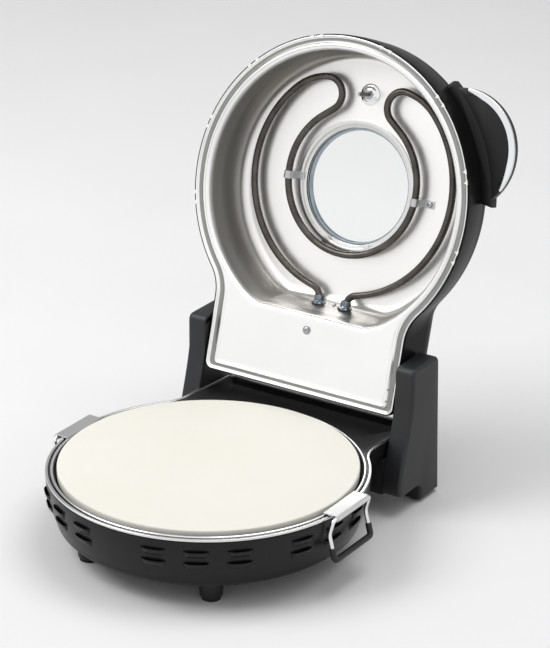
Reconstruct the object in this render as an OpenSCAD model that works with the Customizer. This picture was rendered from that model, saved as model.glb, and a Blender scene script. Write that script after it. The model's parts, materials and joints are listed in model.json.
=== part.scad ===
// Electric pizza maker: a round base with a baking stone and a hinged, windowed lid.
// The lid is drawn closed and turned about its hinge to the open rest position.
// Drawing axes: X to the object's right, Y to the hinge, Z up, with the stone's centre
// over X = 0, Y = 0 and the table at Z = 0. in_frame() moves all to the part's origin.

/* [Baking stone and tray] */
// Diameter of the baking stone
stone_d = 300; // [280:1:320]
// Thickness of the baking stone
stone_t = 10.6; // [8:0.1:12]
// Height of the stone's top above the base's rim
stone_up = 4; // [3:0.1:4.4]
// Radial play between the stone and the tray's wall
stone_play = 1.4; // [0.8:0.1:1.6]
// Sheet thickness of the tray
tray_sheet = 1.2; // [0.8:0.1:1.5]
// Radius of the tray's rolled rim
tray_bead_r = 1.6; // [1.2:0.1:1.9]
// Width of the ledge that carries the stone
tray_ledge = 11; // [8:0.5:16]

/* [Base] */
// Height of the base's rim above the table
rim_z = 80; // [76:0.5:90]
// Distance from the stone's edge to the outside of the rim
rim_margin = 11.5; // [11:0.1:13]
// Width of the bright rim trim
trim_w = 3.8; // [3:0.1:4]
// Thickness of the bright rim trim
trim_t = 2.2; // [2:0.1:2.6]
// Width of the neck that carries the hinge
neck_w = 230; // [210:1:240]
// Distance from the stone's centre to the neck's rear edge
neck_l = 210; // [206:0.5:216]
// Radius that blends the bowl's outline into the neck
neck_blend = 45; // [35:1:60]
// Radius of the neck's rear corners
neck_corner = 8; // [5:0.5:12]
// Distance from the stone's centre to the line where the neck starts to droop
neck_bend = 140; // [132:1:150]
// Angle by which the neck droops towards the hinge
neck_droop = 4; // [3:0.1:5]
// Sheet thickness of the base shell
shell_t = 1.2; // [0.8:0.1:1.5]
// How far the bowl's wall draws in towards its bottom
bowl_taper = 12; // [9:0.5:14]
// Radius of the bowl's bottom corner
bowl_corner = 5; // [3:0.5:7]
// Width of the turned-in flange under the bowl
bowl_flange = 10; // [8:0.5:14]
// Height of the neck's side wall
neck_wall_h = 18; // [14:0.5:20]
// Length of one vent louvre
louvre_l = 25; // [18:0.5:28]
// Height of one vent louvre
louvre_h = 6.4; // [5:0.1:7]
// Height of the upper row of louvres
louvre_z = 63.5; // [61:0.5:65]
// Distance between the two rows of louvres
louvre_pitch = 13; // [11:0.5:14]
// Angle between neighbouring louvres of a group
louvre_step = 15; // [13:0.5:18]

/* [Reflector pan] */
// Sheet thickness of the pan
pan_t = 1; // [0.8:0.1:1.2]
// Depth of the neck recess below the pan's flange
pan_recess = 3.6; // [2:0.1:5]
// Width of the pan's border round the neck recess
pan_border = 13; // [11:0.5:16]
// Width of the sloping side of the neck recess
pan_slope = 4; // [2:0.5:6]
// Depth of the well under the stone, from the flange
well_depth = 34; // [30:0.5:36]

/* [Feet and underside] */
// Height of the front feet
foot_h = 24; // [20:0.5:28]
// Diameter of the front feet
foot_d = 25; // [20:0.5:30]
// Distance of the front feet from the stone's centre
foot_dist = 125.6; // [110:0.5:130]
// Angle of the front feet from straight ahead
foot_angle = 35.3; // [25:0.5:50]
// Thickness of the rubber pads
pad_t = 3; // [2:0.5:4]
// Thickness of the bottom plate
plate_t = 1.2; // [1:0.1:2]

/* [Towers and rear housing] */
// Height of the towers
tower_h = 150; // [145:0.5:160]
// Thickness of each tower
tower_t = 19.4; // [17:0.1:24]
// Depth of a tower at its top
tower_depth = 52; // [48:0.5:60]
// How far a tower's foot stands in front of its top
tower_sweep = 22; // [10:0.5:26]
// Height of the front of a tower's underside
tower_lift = 21; // [16:0.5:23]
// Wall thickness of the towers and the housing
plastic_t = 2.6; // [2:0.1:3]
// Radius of the towers' outer edges
tower_round = 4; // [2:0.5:6]
// Gap between the lid's neck and each tower
side_gap = 1; // [0.6:0.1:1.5]

/* [Lid] */
// Height of the lid from its rim to its crown
lid_h = 66; // [64:0.5:72]
// Gap between the rims of the closed lid and the base
lid_gap = 4.4; // [4:0.1:6]
// Sheet thickness of the lid's outer shell
lid_t = 1; // [0.8:0.1:1.2]
// Sheet thickness of the steel liner
liner_t = 0.8; // [0.6:0.1:1]
// Draw-in of the round wall below the crown
lid_draft = 7; // [4:0.5:8]
// Width of the round crown's corner
crown_w = 22; // [16:0.5:26]
// Height of the crown's corner
crown_h = 20; // [14:0.5:22]
// Draw-in of the neck's walls below the crown
neck_draft = 1.5; // [1:0.1:3]
// Width of the neck crown's corner
neck_crown = 7.5; // [5:0.5:10]
// How far the crown sits in front of the rim's centre
crown_forward = 5; // [0:0.5:6]
// How far the lid opens from closed
open_angle = 105.6; // [95:0.1:108]
// Distance of the hinge axis in front of the neck's rear edge
hinge_inset = 19.5; // [18:0.5:22]
// Height of the hinge axis above the lid's rim
hinge_up = 26.4; // [25:0.1:30]
// Diameter of the hinge pins
pin_d = 8; // [6:0.5:10]
// Running clearance round the hinge pins, on the radius
pin_play = 0.05; // [0.02:0.01:0.09]

/* [Lid liner] */
// Depth of the liner's ceiling above the lid's rim
ceiling_d = 56; // [54:0.5:58]
// Depth of the liner's border band above the lid's rim
band_d = 2.5; // [2:0.1:3]
// Draw-in of the liner's wall from its mouth to its ceiling corner
liner_draft = 10; // [8:0.5:12]
// Width and height of the corner between wall and ceiling
liner_corner = 11; // [8:0.5:13]
// Distance of the bowl's straight rear side from the centre
chord_y = 133.5; // [130:0.5:136]
// Radius of the bowl's two rear corners
chord_round = 60; // [50:1:70]
// Width of the border round the neck panel
neck_border = 13.5; // [12:0.5:16]
// Width of the raised bead inside that border
neck_bead = 3.5; // [2:0.5:5]

/* [Window] */
// Diameter of the clear window
window_d = 122; // [110:1:124]
// Width of the step that holds the glass
window_step = 3.4; // [2.5:0.1:4]
// Thickness of the window glass
glass_t = 4; // [3:0.1:4.5]
// Width of the bezel round the window
bezel_w = 9; // [6:0.5:12]
// How far the window's centre sits in front of the lid's centre
window_forward = 5.5; // [3:0.5:8]

/* [Heating elements] */
// Diameter of the element tubes
tube_d = 7.4; // [6.5:0.1:8]
// Depth of the upper element above the lid's rim
element_d = 46; // [44:0.5:47]
// How far the upper element's arcs are centred in front of the lid's centre
element_forward = 11; // [9:0.5:12]
// Radius of the upper element's outer arc
outer_arc = 118; // [115:0.5:119]
// Radius of the upper element's inner arc
inner_arc = 76.3; // [75:0.1:78]
// Radius of the two front turns
turn_r = 17.7; // [16:0.1:19]
// Sideways place of the front turns
turn_x = 45; // [43:0.5:47]
// Distance of the front turns from the arcs' centre, to the front
turn_y = 84; // [82:0.5:86]
// Radius of the arc between a front turn and the outer arc
blend_arc = 60; // [50:1:75]
// Radius of the bends to the terminals
tail_r = 14; // [12:0.5:16]
// Half the distance between the two terminals
terminal_x = 16; // [14:0.5:18]
// Radius of the lower element's ring
lower_arc = 105; // [90:1:115]
// Height of the lower element above the pan's floor
lower_up = 14; // [11:0.5:16]

/* [Lid handle] */
// Direction of the handle, from the lid's right towards its front
handle_angle = 29.3; // [25:0.1:35]
// Distance of the grip's centre from the lid's centre
handle_dist = 138; // [132:0.5:142]
// Radius of the half-moon grip
handle_r = 62; // [56:0.5:66]
// Depth of the grip's underside above the lid's rim
handle_d = 38; // [34:0.5:40]
// Thickness of the grip
handle_t = 11; // [8:0.5:13]
// Width of the bright strip along the grip's edge
strip_w = 5; // [3:0.5:7]

/* [Tray handles] */
// Diameter of the bail wires
wire_d = 4; // [3:0.1:4.5]
// Width of a bail between its two legs
bail_w = 66; // [56:1:70]
// Length of a bail from its pivot to its bar
bail_l = 42; // [36:0.5:46]
// Inward offset of a bail's elbow
bail_elbow = 4.4; // [2:0.1:4.8]
// Outside diameter of the grip sleeves
sleeve_d = 6.2; // [5.4:0.1:7]
// Distance of the bails' pivots outside the tray's rim
bail_out = 9; // [8.5:0.1:11]

/* [Hidden] */
$fn = 96;
loop_n = 10;
eps = 0.01;
fit = 0.15;

stone_r = stone_d / 2;
base_r = stone_r + rim_margin;
neck_x = neck_w / 2;
tray_in_r = stone_r + stone_play;
tray_r = base_r - trim_w - 0.5;
flange_z = rim_z - trim_t;
tray_bead_z = flange_z + tray_bead_r;
stone_top = rim_z + stone_up;
tray_shelf_z = stone_top - stone_t;
plate_z = foot_h;
bowl_z = plate_z + plate_t;
neck_floor_z = flange_z - neck_wall_h;

lid_z = rim_z + lid_gap;
hinge_y = neck_l - hinge_inset;
hinge_z = lid_z + hinge_up;
lid_l = neck_l - 1.5;
pin_r = pin_d / 2;

tower_x = neck_x + side_gap;
tower_rear = hinge_y + 25;
tower_top_front = tower_rear - tower_depth;
tower_foot_front = tower_top_front - tower_sweep;
housing_front = tower_foot_front + 2;
housing_rear = neck_l - 2;
housing_bottom = tower_lift;

well_r = tray_in_r + tray_sheet + 0.9;
pan_flange_z = flange_z - pan_t;
well_z = flange_z - well_depth;
recess_z = flange_z - pan_recess;
tube_r = tube_d / 2;
lower_z = well_z + lower_up;

liner_play = 0.6;
liner_edge = lid_t + liner_play;
mouth_r = stone_r - 1;
ceiling_z = lid_z + ceiling_d;
window_r = window_d / 2;
window_y = -window_forward;
glass_r = window_r + window_step;
collar_r = glass_r + fit + 1.4;
element_z = lid_z + element_d;
element_y = -element_forward;
liner_floor = lid_z + band_d;

tab_t = 1.2;
pivot_x = tray_r + bail_out;
barrel_r = wire_d / 2 + pin_play + tab_t;
pivot_z = tray_bead_z + tray_bead_r + tab_t - barrel_r;
tab_z = tray_bead_z + tray_bead_r;
wire_r = wire_d / 2;
sleeve_r = sleeve_d / 2;
bail_bar_out = 2.5;
tray_tab_w = bail_w - wire_d - 5;

handle_x = handle_dist * cos(handle_angle);
handle_y = -handle_dist * sin(handle_angle);

// The part's origin is the middle of its footprint with the lid open.
reach_right = handle_x + handle_r;
reach_left = pivot_x + bail_bar_out + sleeve_r;
reach_rear = max([for (v = lid_levels(0)) opened_y(-(base_r - v[1]) - v[3], lid_z + v[0])]);
origin_x = (reach_right - reach_left) / 2;
origin_y = (reach_rear - base_r) / 2;

// ---------------------------------------------------------------- places

module in_frame() { translate([-origin_x, -origin_y, 0]) children(); }

// The lid's parts are drawn closed; this turns them back to the open rest position.
module lid_open() {
    in_frame() translate([0, hinge_y, hinge_z]) rotate([-open_angle, 0, 0])
        translate([0, -hinge_y, -hinge_z]) children();
}

function opened_y(y, z) =
    hinge_y + cos(open_angle) * (y - hinge_y) + sin(open_angle) * (z - hinge_z);

module mirror_x(left) { mirror([left ? 1 : 0, 0, 0]) children(); }

// ---------------------------------------------------------------- outlines

function arc(c, r, a0, a1, n = loop_n) =
    [for (i = [0:n]) let (a = a0 + (a1 - a0) * i / n) [c.x + r * cos(a), c.y + r * sin(a)]];

// A right half outline, from the front round to the rear, made whole by its mirror image.
function both_halves(half) =
    concat(half, [for (i = [len(half) - 1:-1:1]) [-half[i].x, half[i].y]]);

// The outline of base and lid: a circle with a neck, blended by two hollow curves.
function keyhole(r, hw, l, blend, corner, cy = 0) =
    let (bx = hw + blend,
         by = cy + sqrt(pow(r + blend, 2) - pow(bx, 2)),
         a = atan2(by - cy, bx))
    both_halves(concat(
        arc([0, cy], r, -90, a, 3 * loop_n),
        [for (p = arc([bx, by], blend, a + 180, 180)) if (p.x < bx - blend * cos(a) - eps) p],
        [[hw, neck_bend]],
        arc([hw - corner, l - corner], corner, 0, 90, 6)));

function base_outline(inset) =
    keyhole(base_r - inset, neck_x - inset, neck_l - inset, neck_blend + inset,
            max(neck_corner - inset, 0.5));

// The bowl's mouth: a circle whose rear is cut straight, with round corners.
function bowl_outline(r, chord, round, cy) =
    let (ky = chord - round,
         kx = sqrt(pow(r - round, 2) - pow(ky - cy, 2)),
         a = atan2(ky - cy, kx))
    both_halves(concat(
        arc([0, cy], r, -90, a, 3 * loop_n),
        [for (p = arc([kx, ky], round, a, 90)) if (p.y > ky + round * sin(a) + eps) p]));

// A closed solid through outlines that lie one above the other.
module loft(outlines, heights) {
    n = len(outlines[0]);
    m = len(outlines);
    points = [for (i = [0:m - 1]) for (p = outlines[i]) [p.x, p.y, heights[i]]];
    sides = [for (i = [0:m - 2]) for (j = [0:n - 1])
        let (k = (j + 1) % n) [i * n + j, (i + 1) * n + j, (i + 1) * n + k, i * n + k]];
    faces = concat(sides,
        [[for (j = [0:n - 1]) j]],
        [[for (j = [n - 1:-1:0]) (m - 1) * n + j]]);
    polyhedron(points, faces, convexity = 8);
}

// A tube swept along points in space; the path never runs along the normal.
module sweep(path, r, normal, sides = 12) {
    last = len(path) - 1;
    dir = [for (i = [0:last])
        let (d = path[min(i + 1, last)] - path[max(i - 1, 0)]) d / norm(d)];
    side_axis = [for (i = [0:last]) unit(cross(dir[i], normal))];
    points = [for (i = [0:last]) for (j = [0:sides - 1])
        let (a = 360 * j / sides)
        path[i] + r * (cos(a) * side_axis[i] + sin(a) * cross(dir[i], side_axis[i]))];
    faces = concat(
        [for (i = [0:last - 1]) for (j = [0:sides - 1])
            let (k = (j + 1) % sides)
            [i * sides + j, (i + 1) * sides + j, (i + 1) * sides + k, i * sides + k]],
        [[for (j = [0:sides - 1]) j]],
        [[for (j = [sides - 1:-1:0]) last * sides + j]]);
    polyhedron(points, faces, convexity = 6);
}

module slab(outline, z0, z1) { translate([0, 0, z0]) linear_extrude(z1 - z0) polygon(outline); }

// A screw along +Z, its head's seat at the origin and its shank below.
module screw(head_r, head_h, shank_r, shank_l) {
    difference() {
        union() {
            cylinder(r = head_r, h = head_h, $fn = 32);
            translate([0, 0, -shank_l]) cylinder(r = shank_r, h = shank_l + eps, $fn = 32);
        }
        for (a = [0, 90]) rotate(a)
            translate([-head_r * 0.6, -head_r * 0.12, head_h * 0.5])
                cube([head_r * 1.2, head_r * 0.24, head_h]);
    }
}

// ---------------------------------------------------------------- base

// Longer than anything that a cut has to pass through.
behind = 400;

function droop(y) = max(0, y - neck_bend) * tan(neck_droop);

// A closed solid through keyhole outlines, whose neck droops from the bend on. Both end
// faces fold along the line between the two points that lie at the bend.
module bent_loft(outlines, heights) {
    n = len(outlines[0]);
    m = len(outlines);
    b = [for (j = [0:n - 1]) if (outlines[0][j].y == neck_bend) j];
    points = [for (i = [0:m - 1]) for (p = outlines[i]) [p.x, p.y, heights[i] - droop(p.y)]];
    sides = [for (i = [0:m - 2]) for (j = [0:n - 1])
        let (k = (j + 1) % n) [i * n + j, (i + 1) * n + j, (i + 1) * n + k, i * n + k]];
    neck = [for (j = [b[0]:b[1]]) j];
    round = concat([for (j = [b[1]:n - 1]) j], [for (j = [0:b[0]]) j]);
    faces = concat(sides, [neck, round],
        [for (f = [neck, round]) [for (j = [len(f) - 1:-1:0]) (m - 1) * n + f[j]]]);
    polyhedron(points, faces, convexity = 8);
}

module bent_slab(inset, z0, z1) { bent_loft([base_outline(inset), base_outline(inset)], [z0, z1]); }

function bowl_r_at(z) = base_r - bowl_taper * pow((rim_z - z) / (rim_z - bowl_z), 2);

// The bowl's own wall ends inside the band that carries the neck.
bowl_lap = 2;
bowl_seam = 0.3;
// Sheets that join stay this far from each other's faces.
floor_up = 0.2;
pan_edge = 0.3;
bend_lap = 0.1;
bend_play = 0.05;
// The neck's floor starts where the neck leaves the bowl's circle.
floor_front = 90;

function bowl_wall(inset) =
    let (z0 = neck_floor_z + bowl_lap, z1 = bowl_z + bowl_corner,
         rc = bowl_r_at(z1) - bowl_corner, k = bowl_corner - inset)
    concat(
        [for (i = [0:6]) let (z = z0 + (z1 - z0) * i / 6) [bowl_r_at(z) - bowl_seam - inset, z]],
        [for (i = [1:4]) let (a = -90 * i / 4) [rc + k * cos(a), z1 + k * sin(a)]],
        [[rc - bowl_flange, bowl_z + inset]]);

module bowl_shell() {
    outer = bowl_wall(0);
    inner = bowl_wall(shell_t);
    rotate_extrude($fn = 180)
        polygon(concat(outer, [for (i = [len(inner) - 1:-1:0]) inner[i]]));
}

louvre_angles = [for (g = [-83, -30, 30, 83]) for (s = [-1:1]) -90 + g + s * louvre_step];
louvre_rows = [louvre_z, louvre_z - louvre_pitch];
louvre_out = 2.4;
louvre_low = 15;
slit_h = 1.6;

module louvre() {
    function blade(w, out) = [[-2, -w / 2], [out - 0.8, -w / 2], [out, -w / 2 + 1.2],
                              [out, w / 2 - 1.2], [out - 0.8, w / 2], [-2, w / 2]];
    loft([blade(louvre_low, 1), blade(louvre_l, louvre_out)], [-louvre_h / 2, louvre_h / 2]);
}

module at_louvres() {
    for (a = louvre_angles) for (z = louvre_rows)
        rotate(a) translate([bowl_r_at(z - louvre_h / 2) - 0.6, 0, z]) children();
}

module base_shell() {
    color([0.06, 0.06, 0.065]) in_frame() {
        difference() {
            union() {
                bowl_shell();
                upper_band();
                at_louvres() louvre();
            }
            at_louvres() translate([-4, -louvre_l / 2 + 2, louvre_h / 2 - 1 - slit_h])
                cube([5.6, louvre_l - 4, slit_h]);
            at_bottom_screws() cylinder(r = 1.5, h = 9, center = true, $fn = 24);
        }
    }
}

// A bent wall between two outlines at each height, one closed skin without a floor.
module bent_wall(outer, inner, heights) {
    n = len(outer[0]);
    m = len(heights);
    rings = concat([for (i = [0:m - 1]) [outer[i], heights[i]]],
                   [for (i = [m - 1:-1:0]) [inner[i], heights[i]]]);
    points = [for (r = rings) for (p = r[0]) [p.x, p.y, r[1] - droop(p.y)]];
    faces = [for (i = [0:2 * m - 1]) for (j = [0:n - 1])
        let (k = (j + 1) % n, u = ((i + 1) % (2 * m)) * n)
        [i * n + j, u + j, u + k, i * n + k]];
    polyhedron(points, faces, convexity = 8);
}

// Tilts a flat sheet about the neck's bend at height z.
module tilted(z) {
    translate([0, neck_bend, z]) rotate([-neck_droop, 0, 0]) translate([0, -neck_bend, -z]) children();
}

// A sheet, flat up to the neck's bend and drooping behind it. The first child is the flat
// part's outline. The second is the drooping part's, bend_play smaller, so that no two of
// their edges coincide.
module bent_sheet(z, t) {
    translate([0, 0, z]) linear_extrude(t) intersection() {
        children(0);
        translate([-behind, -behind]) square([2 * behind, behind + neck_bend + bend_lap]);
    }
    tilted(z) translate([0, 0, z]) linear_extrude(t) intersection() {
        children(1);
        translate([-behind, neck_bend - bend_lap]) square([2 * behind, behind]);
    }
}

// The upper wall of the bowl and the neck behind it, with the neck's floor.
module upper_band() {
    steps = [for (i = [0:3]) neck_floor_z + (pan_flange_z - neck_floor_z) * i / 3];
    bent_wall([for (z = steps) base_outline(base_r - bowl_r_at(z))],
              [for (z = steps) base_outline(base_r - bowl_r_at(z) + shell_t)], steps);
    bent_sheet(neck_floor_z + floor_up, shell_t) {
        neck_floor(0);
        neck_floor(bend_play);
    }
}

module neck_floor(d) {
    difference() {
        polygon(base_outline(base_r - bowl_r_at(neck_floor_z) + shell_t / 2 + d));
        circle(r = bowl_r_at(neck_floor_z) - bowl_seam - shell_t / 2 + d, $fn = 180);
        translate([-behind, -behind]) square([2 * behind, behind + floor_front]);
    }
}

module rim_trim() {
    color([0.82, 0.83, 0.84]) in_frame() difference() {
        bent_slab(0, flange_z, rim_z);
        bent_slab(trim_w, flange_z - 1, rim_z + 1);
    }
}

// The neck's inner panel: its front side follows the stone's circle.
function neck_panel(r, hw, l, k) =
    let (a = acos((hw - k) / (r + k)))
    concat([[hw - k, l - k], [k - hw, l - k]],
           arc([0, 0], r + k, 180 - a, a, 2 * loop_n));

function recess_outline(k) = neck_panel(well_r + pan_slope, neck_x - pan_border, neck_l - pan_border, k);

module pan_flange(d) {
    difference() {
        polygon(base_outline(pan_edge + d));
        circle(r = well_r + pan_t / 2 + d, $fn = 180);
        polygon(recess_outline(-pan_t / 2 - d));
    }
}

module recess_wall(d) {
    difference() {
        polygon(recess_outline(d - pan_t));
        polygon(recess_outline(-d));
    }
}

module reflector_pan() {
    color([0.05, 0.05, 0.055]) in_frame() difference() {
        union() {
            bent_sheet(pan_flange_z, pan_t) {
                pan_flange(0);
                pan_flange(bend_play);
            }
            bent_sheet(recess_z - pan_t, pan_t) {
                polygon(recess_outline(-pan_t / 2));
                polygon(recess_outline(bend_play - pan_t / 2));
            }
            bent_sheet(recess_z - pan_t + floor_up, pan_recess - 2 * floor_up + pan_t) {
                recess_wall(0);
                recess_wall(bend_play);
            }
            rotate_extrude($fn = 180) polygon([
                [well_r + pan_t, flange_z - floor_up], [well_r, flange_z - floor_up],
                [well_r - 0.3, tray_shelf_z - 5],
                [well_r - 6, well_z + 5], [well_r - 11, well_z], [0, well_z],
                [0, well_z - pan_t], [well_r - 11, well_z - pan_t],
                [well_r - 6 + pan_t, well_z + 5 - pan_t], [well_r - 0.3 + pan_t, tray_shelf_z - 5]]);
        }
        for (s = [-1, 1]) translate([s * terminal_x, well_r - 20, lower_z]) rotate([-90, 0, 0])
            cylinder(r = bush_r, h = 40, $fn = 32);
    }
}

bottom_r = bowl_r_at(bowl_z + bowl_corner) - bowl_corner;
screw_ring_r = bottom_r - bowl_flange / 2;

module at_bottom_screws() {
    for (a = [15:60:345]) rotate(a) translate([screw_ring_r, 0, plate_z]) rotate([180, 0, 0]) children();
}

module bottom_plate() {
    color([0.1, 0.1, 0.1]) in_frame() difference() {
        cylinder(r = bottom_r, h = plate_t + plate_z, $fn = 180);
        translate([0, 0, -1]) cylinder(r = bottom_r + 1, h = plate_z + 1);
        at_bottom_screws() cylinder(r = 1.5, h = 9, center = true, $fn = 24);
        for (a = [0:30:330]) rotate(a) translate([60, -2, plate_z - 1]) cube([40, 4, plate_t + 2]);
    }
}

module bottom_screws() {
    color([0.7, 0.7, 0.72]) in_frame() at_bottom_screws() screw(3, 1.8, 1.5, 4);
}

module front_foot(left) {
    color([0.04, 0.04, 0.04]) in_frame() mirror_x(left)
        translate([foot_dist * sin(foot_angle), -foot_dist * cos(foot_angle), pad_t])
            difference() {
                cylinder(r1 = foot_d / 2 - 1.5, r2 = foot_d / 2, h = foot_h - pad_t);
                translate([0, 0, -eps]) cylinder(r = foot_d / 2 - 6, h = 4, $fn = 48);
            }
}
module front_foot_left() { front_foot(true); }
module front_foot_right() { front_foot(false); }

module foot_pads() {
    color([0.03, 0.03, 0.03]) in_frame() for (left = [false, true]) mirror_x(left)
        translate([foot_dist * sin(foot_angle), -foot_dist * cos(foot_angle), 0]) {
            cylinder(r = foot_d / 2 - 3, h = pad_t, $fn = 48);
            cylinder(r = foot_d / 2 - 6 - fit, h = pad_t + 3, $fn = 48);
        }
}

// ---------------------------------------------------------------- rear housing and towers

// Draws a side outline of (Y, Z) points and gives it a thickness along X.
module along_x(x) { translate([x, 0, 0]) rotate([90, 0, 90]) children(); }

function droop_z(y, z) = z - (y - neck_bend) * tan(neck_droop);

gland = [-70, 38];
gland_r = 7;
housing_cut_r = base_r + 0.2;

module housing_block(k, top) {
    difference() {
        along_x(-tower_x + k) linear_extrude(2 * (tower_x - k)) polygon([
            [housing_front + k, housing_bottom + k],
            [housing_rear - k, housing_bottom + k],
            [housing_rear - k, droop_z(housing_rear, neck_floor_z) + top],
            [housing_front + k, droop_z(housing_front, neck_floor_z) + top]]);
        translate([0, 0, -1]) cylinder(r = housing_cut_r + k, h = rim_z, $fn = 180);
    }
}

module rear_housing() {
    color([0.09, 0.09, 0.095]) in_frame() difference() {
        housing_block(0, 0);
        housing_block(plastic_t, 5);
        translate([gland.x, housing_rear, gland.y]) rotate([90, 0, 0])
            cylinder(r = gland_r, h = 20, center = true, $fn = 48);
    }
}

function ease(t) = 0.7 * t + 0.15 * (1 - cos(180 * t));

tower_bend_z = tower_h - 37;
tower_toe_z = tower_lift + 12;
foot_front = tower_rear - 30;

// The tower's side outline as (Y, Z) points, counter-clockwise from its heel.
function tower_outline() = concat(
    [[tower_rear + 6.5, pad_t]],
    [[tower_rear + 3.5, tower_h - 92]],
    arc([tower_rear - 7, tower_h - 7], 7, 0, 90, 5),
    arc([tower_top_front + 7, tower_h - 7], 7, 90, 180, 5),
    [for (i = [0:8]) let (t = i / 8)
        [tower_top_front - tower_sweep * ease(t), tower_bend_z + (tower_toe_z - tower_bend_z) * t]],
    arc([tower_foot_front + 8, tower_lift + 8], 8, 190, 270, 5),
    arc([foot_front - 8, tower_lift - 8], 8, 90, 0, 5),
    [[foot_front, pad_t]]);

// Moves each side of a closed outline inwards by d.
function inset_loop(p, d) = [for (i = [0:len(p) - 1])
    let (n = len(p),
         u = unit(p[i] - p[(i + n - 1) % n]),
         v = unit(p[(i + 1) % n] - p[i]),
         m = [-u.y - v.y, u.x + v.x])
    p[i] + m * (2 * d / (m * m))];
function unit(v) = v / norm(v);

pin_out = 12;
boss_r = 8;
cover_t = 2.5;
cover_holes = [[tower_top_front + 12, tower_h - 12], [tower_foot_front + 16, tower_lift + 14],
               [tower_rear - 8, tower_lift + 14]];

module tower(left) {
    round_steps = [for (i = [0:4]) let (a = 90 * i / 4)
        [tower_round * (1 - cos(a)), tower_t - tower_round * (1 - sin(a))]];
    outer = tower_outline();
    color([0.09, 0.09, 0.095]) in_frame() mirror_x(left) difference() {
        along_x(tower_x) loft(
            concat([outer], [for (s = round_steps) inset_loop(outer, s[0])]),
            concat([-2], [for (s = round_steps) s[1]]));
        translate([tower_x - 5, 0, 0]) cube([5, behind, behind]);
        difference() {
            along_x(tower_x - 1) linear_extrude(tower_t - plastic_t + 1)
                polygon(inset_loop(outer, plastic_t));
            along_x(tower_x + cover_t) translate([hinge_y, hinge_z]) cylinder(r = boss_r, h = tower_t);
            for (p = cover_holes) along_x(tower_x + cover_t) translate(p)
                cylinder(r = 3.5, h = tower_t, $fn = 32);
        }
        along_x(tower_x - 1) translate([hinge_y, hinge_z]) cylinder(r = pin_r, h = pin_out + 1);
        for (p = cover_holes) along_x(tower_x - 1) translate(p) cylinder(r = 1.4, h = 10, $fn = 24);
    }
}
module tower_left() { tower(true); }
module tower_right() { tower(false); }

module tower_cover(left) {
    color([0.07, 0.07, 0.075]) in_frame() mirror_x(left) difference() {
        along_x(tower_x) linear_extrude(cover_t)
            polygon(inset_loop(tower_outline(), plastic_t + fit));
        along_x(tower_x - 1) translate([hinge_y, hinge_z]) cylinder(r = pin_r, h = cover_t + 2);
        for (p = cover_holes) along_x(tower_x) translate([p.x, p.y, -1]) {
            cylinder(r = 1.4, h = 9, $fn = 24);
            cylinder(r = 2.8, h = 2.4, $fn = 32);
        }
    }
}
module tower_cover_left() { tower_cover(true); }
module tower_cover_right() { tower_cover(false); }

module tower_screws() {
    color([0.6, 0.6, 0.62]) in_frame() for (left = [false, true]) mirror_x(left)
        for (p = cover_holes) along_x(tower_x) translate([p.x, p.y, 1.4]) mirror([0, 0, 1])
            screw(2.6, 1.2, 1.4, 6);
}

module rear_pads() {
    color([0.03, 0.03, 0.03]) in_frame() for (left = [false, true]) mirror_x(left)
        translate([tower_x + tower_t / 2, (foot_front + tower_rear + 6.5) / 2, 0])
            for (s = [-1, 1]) translate([0, s * 8, 0]) cylinder(r = 6, h = pad_t, $fn = 48);
}

bracket_out = neck_x - 2.4;
bracket_t = 2.8;

module hinge_pin(left) {
    color([0.75, 0.75, 0.77]) in_frame() mirror_x(left)
        along_x(bracket_out - bracket_t - 3) translate([hinge_y, hinge_z])
            cylinder(r = pin_r, h = tower_x + pin_out - (bracket_out - bracket_t - 3));
}
module hinge_pin_left() { hinge_pin(true); }
module hinge_pin_right() { hinge_pin(false); }

// ---------------------------------------------------------------- lower element and wiring

bush_r = 6.5;
clip_w = 8;

// The room an element tube takes in its clips.
module arc_tube(c, r, a0, a1) {
    translate([c.x, c.y, 0]) rotate(min(a0, a1)) rotate_extrude(angle = abs(a1 - a0), $fn = 120)
        translate([r, 0]) circle(r = tube_r + fit, $fn = 32);
}

// An arc's points without its first, for joining it to what comes before.
function arc_on(c, r, a0, a1, n) =
    [for (i = [1:n]) let (a = a0 + (a1 - a0) * i / n) [c.x + r * cos(a), c.y + r * sin(a)]];

// The centre of the bend between a ring and its straight terminal.
function bend_c(cy, r) = [terminal_x + tail_r, cy + sqrt(pow(r + tail_r, 2) - pow(terminal_x + tail_r, 2))];

// The end of a ring about [0, cy]: from angle a0 to the bend, and straight on to end_y.
function ring_end(cy, r, a0, end_y, n) =
    let (c = bend_c(cy, r), a1 = atan2(c.y - cy, c.x))
    concat(arc_on([0, cy], r, a0, a1, n), arc_on(c, tail_r, a1 + 180, 180, 4), [[terminal_x, end_y]]);

// A flat tube whose left half mirrors its right half; the first point lies on X = 0.
module flat_tube(half) {
    path = concat([for (i = [len(half) - 1:-1:1]) [-half[i].x, half[i].y, 0]],
                  [for (p = half) [p.x, p.y, 0]]);
    sweep(path, tube_r, [0, 0, 1]);
}

module lower_element() {
    color([0.25, 0.25, 0.27]) in_frame() translate([0, 0, lower_z])
        flat_tube(concat([[0, -lower_arc]], ring_end(0, lower_arc, -90, well_r + 3, 24)));
}

module lower_clips() {
    color([0.7, 0.7, 0.7]) in_frame() for (a = [-90, 30, 150]) rotate(a) difference() {
        translate([lower_arc - 2, -clip_w / 2, well_z]) cube([4, clip_w, lower_up]);
        rotate(-10) translate([0, 0, lower_z]) arc_tube([0, 0], lower_arc, 0, 20);
    }
}

module lower_bushes() {
    color([0.85, 0.85, 0.8]) in_frame() for (s = [-1, 1])
        translate([s * terminal_x, well_r - 12, lower_z]) rotate([-90, 0, 0]) difference() {
            cylinder(r = bush_r, h = 13, $fn = 32);
            translate([0, 0, -1]) cylinder(r = tube_r, h = 20, $fn = 32);
        }
}

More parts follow.
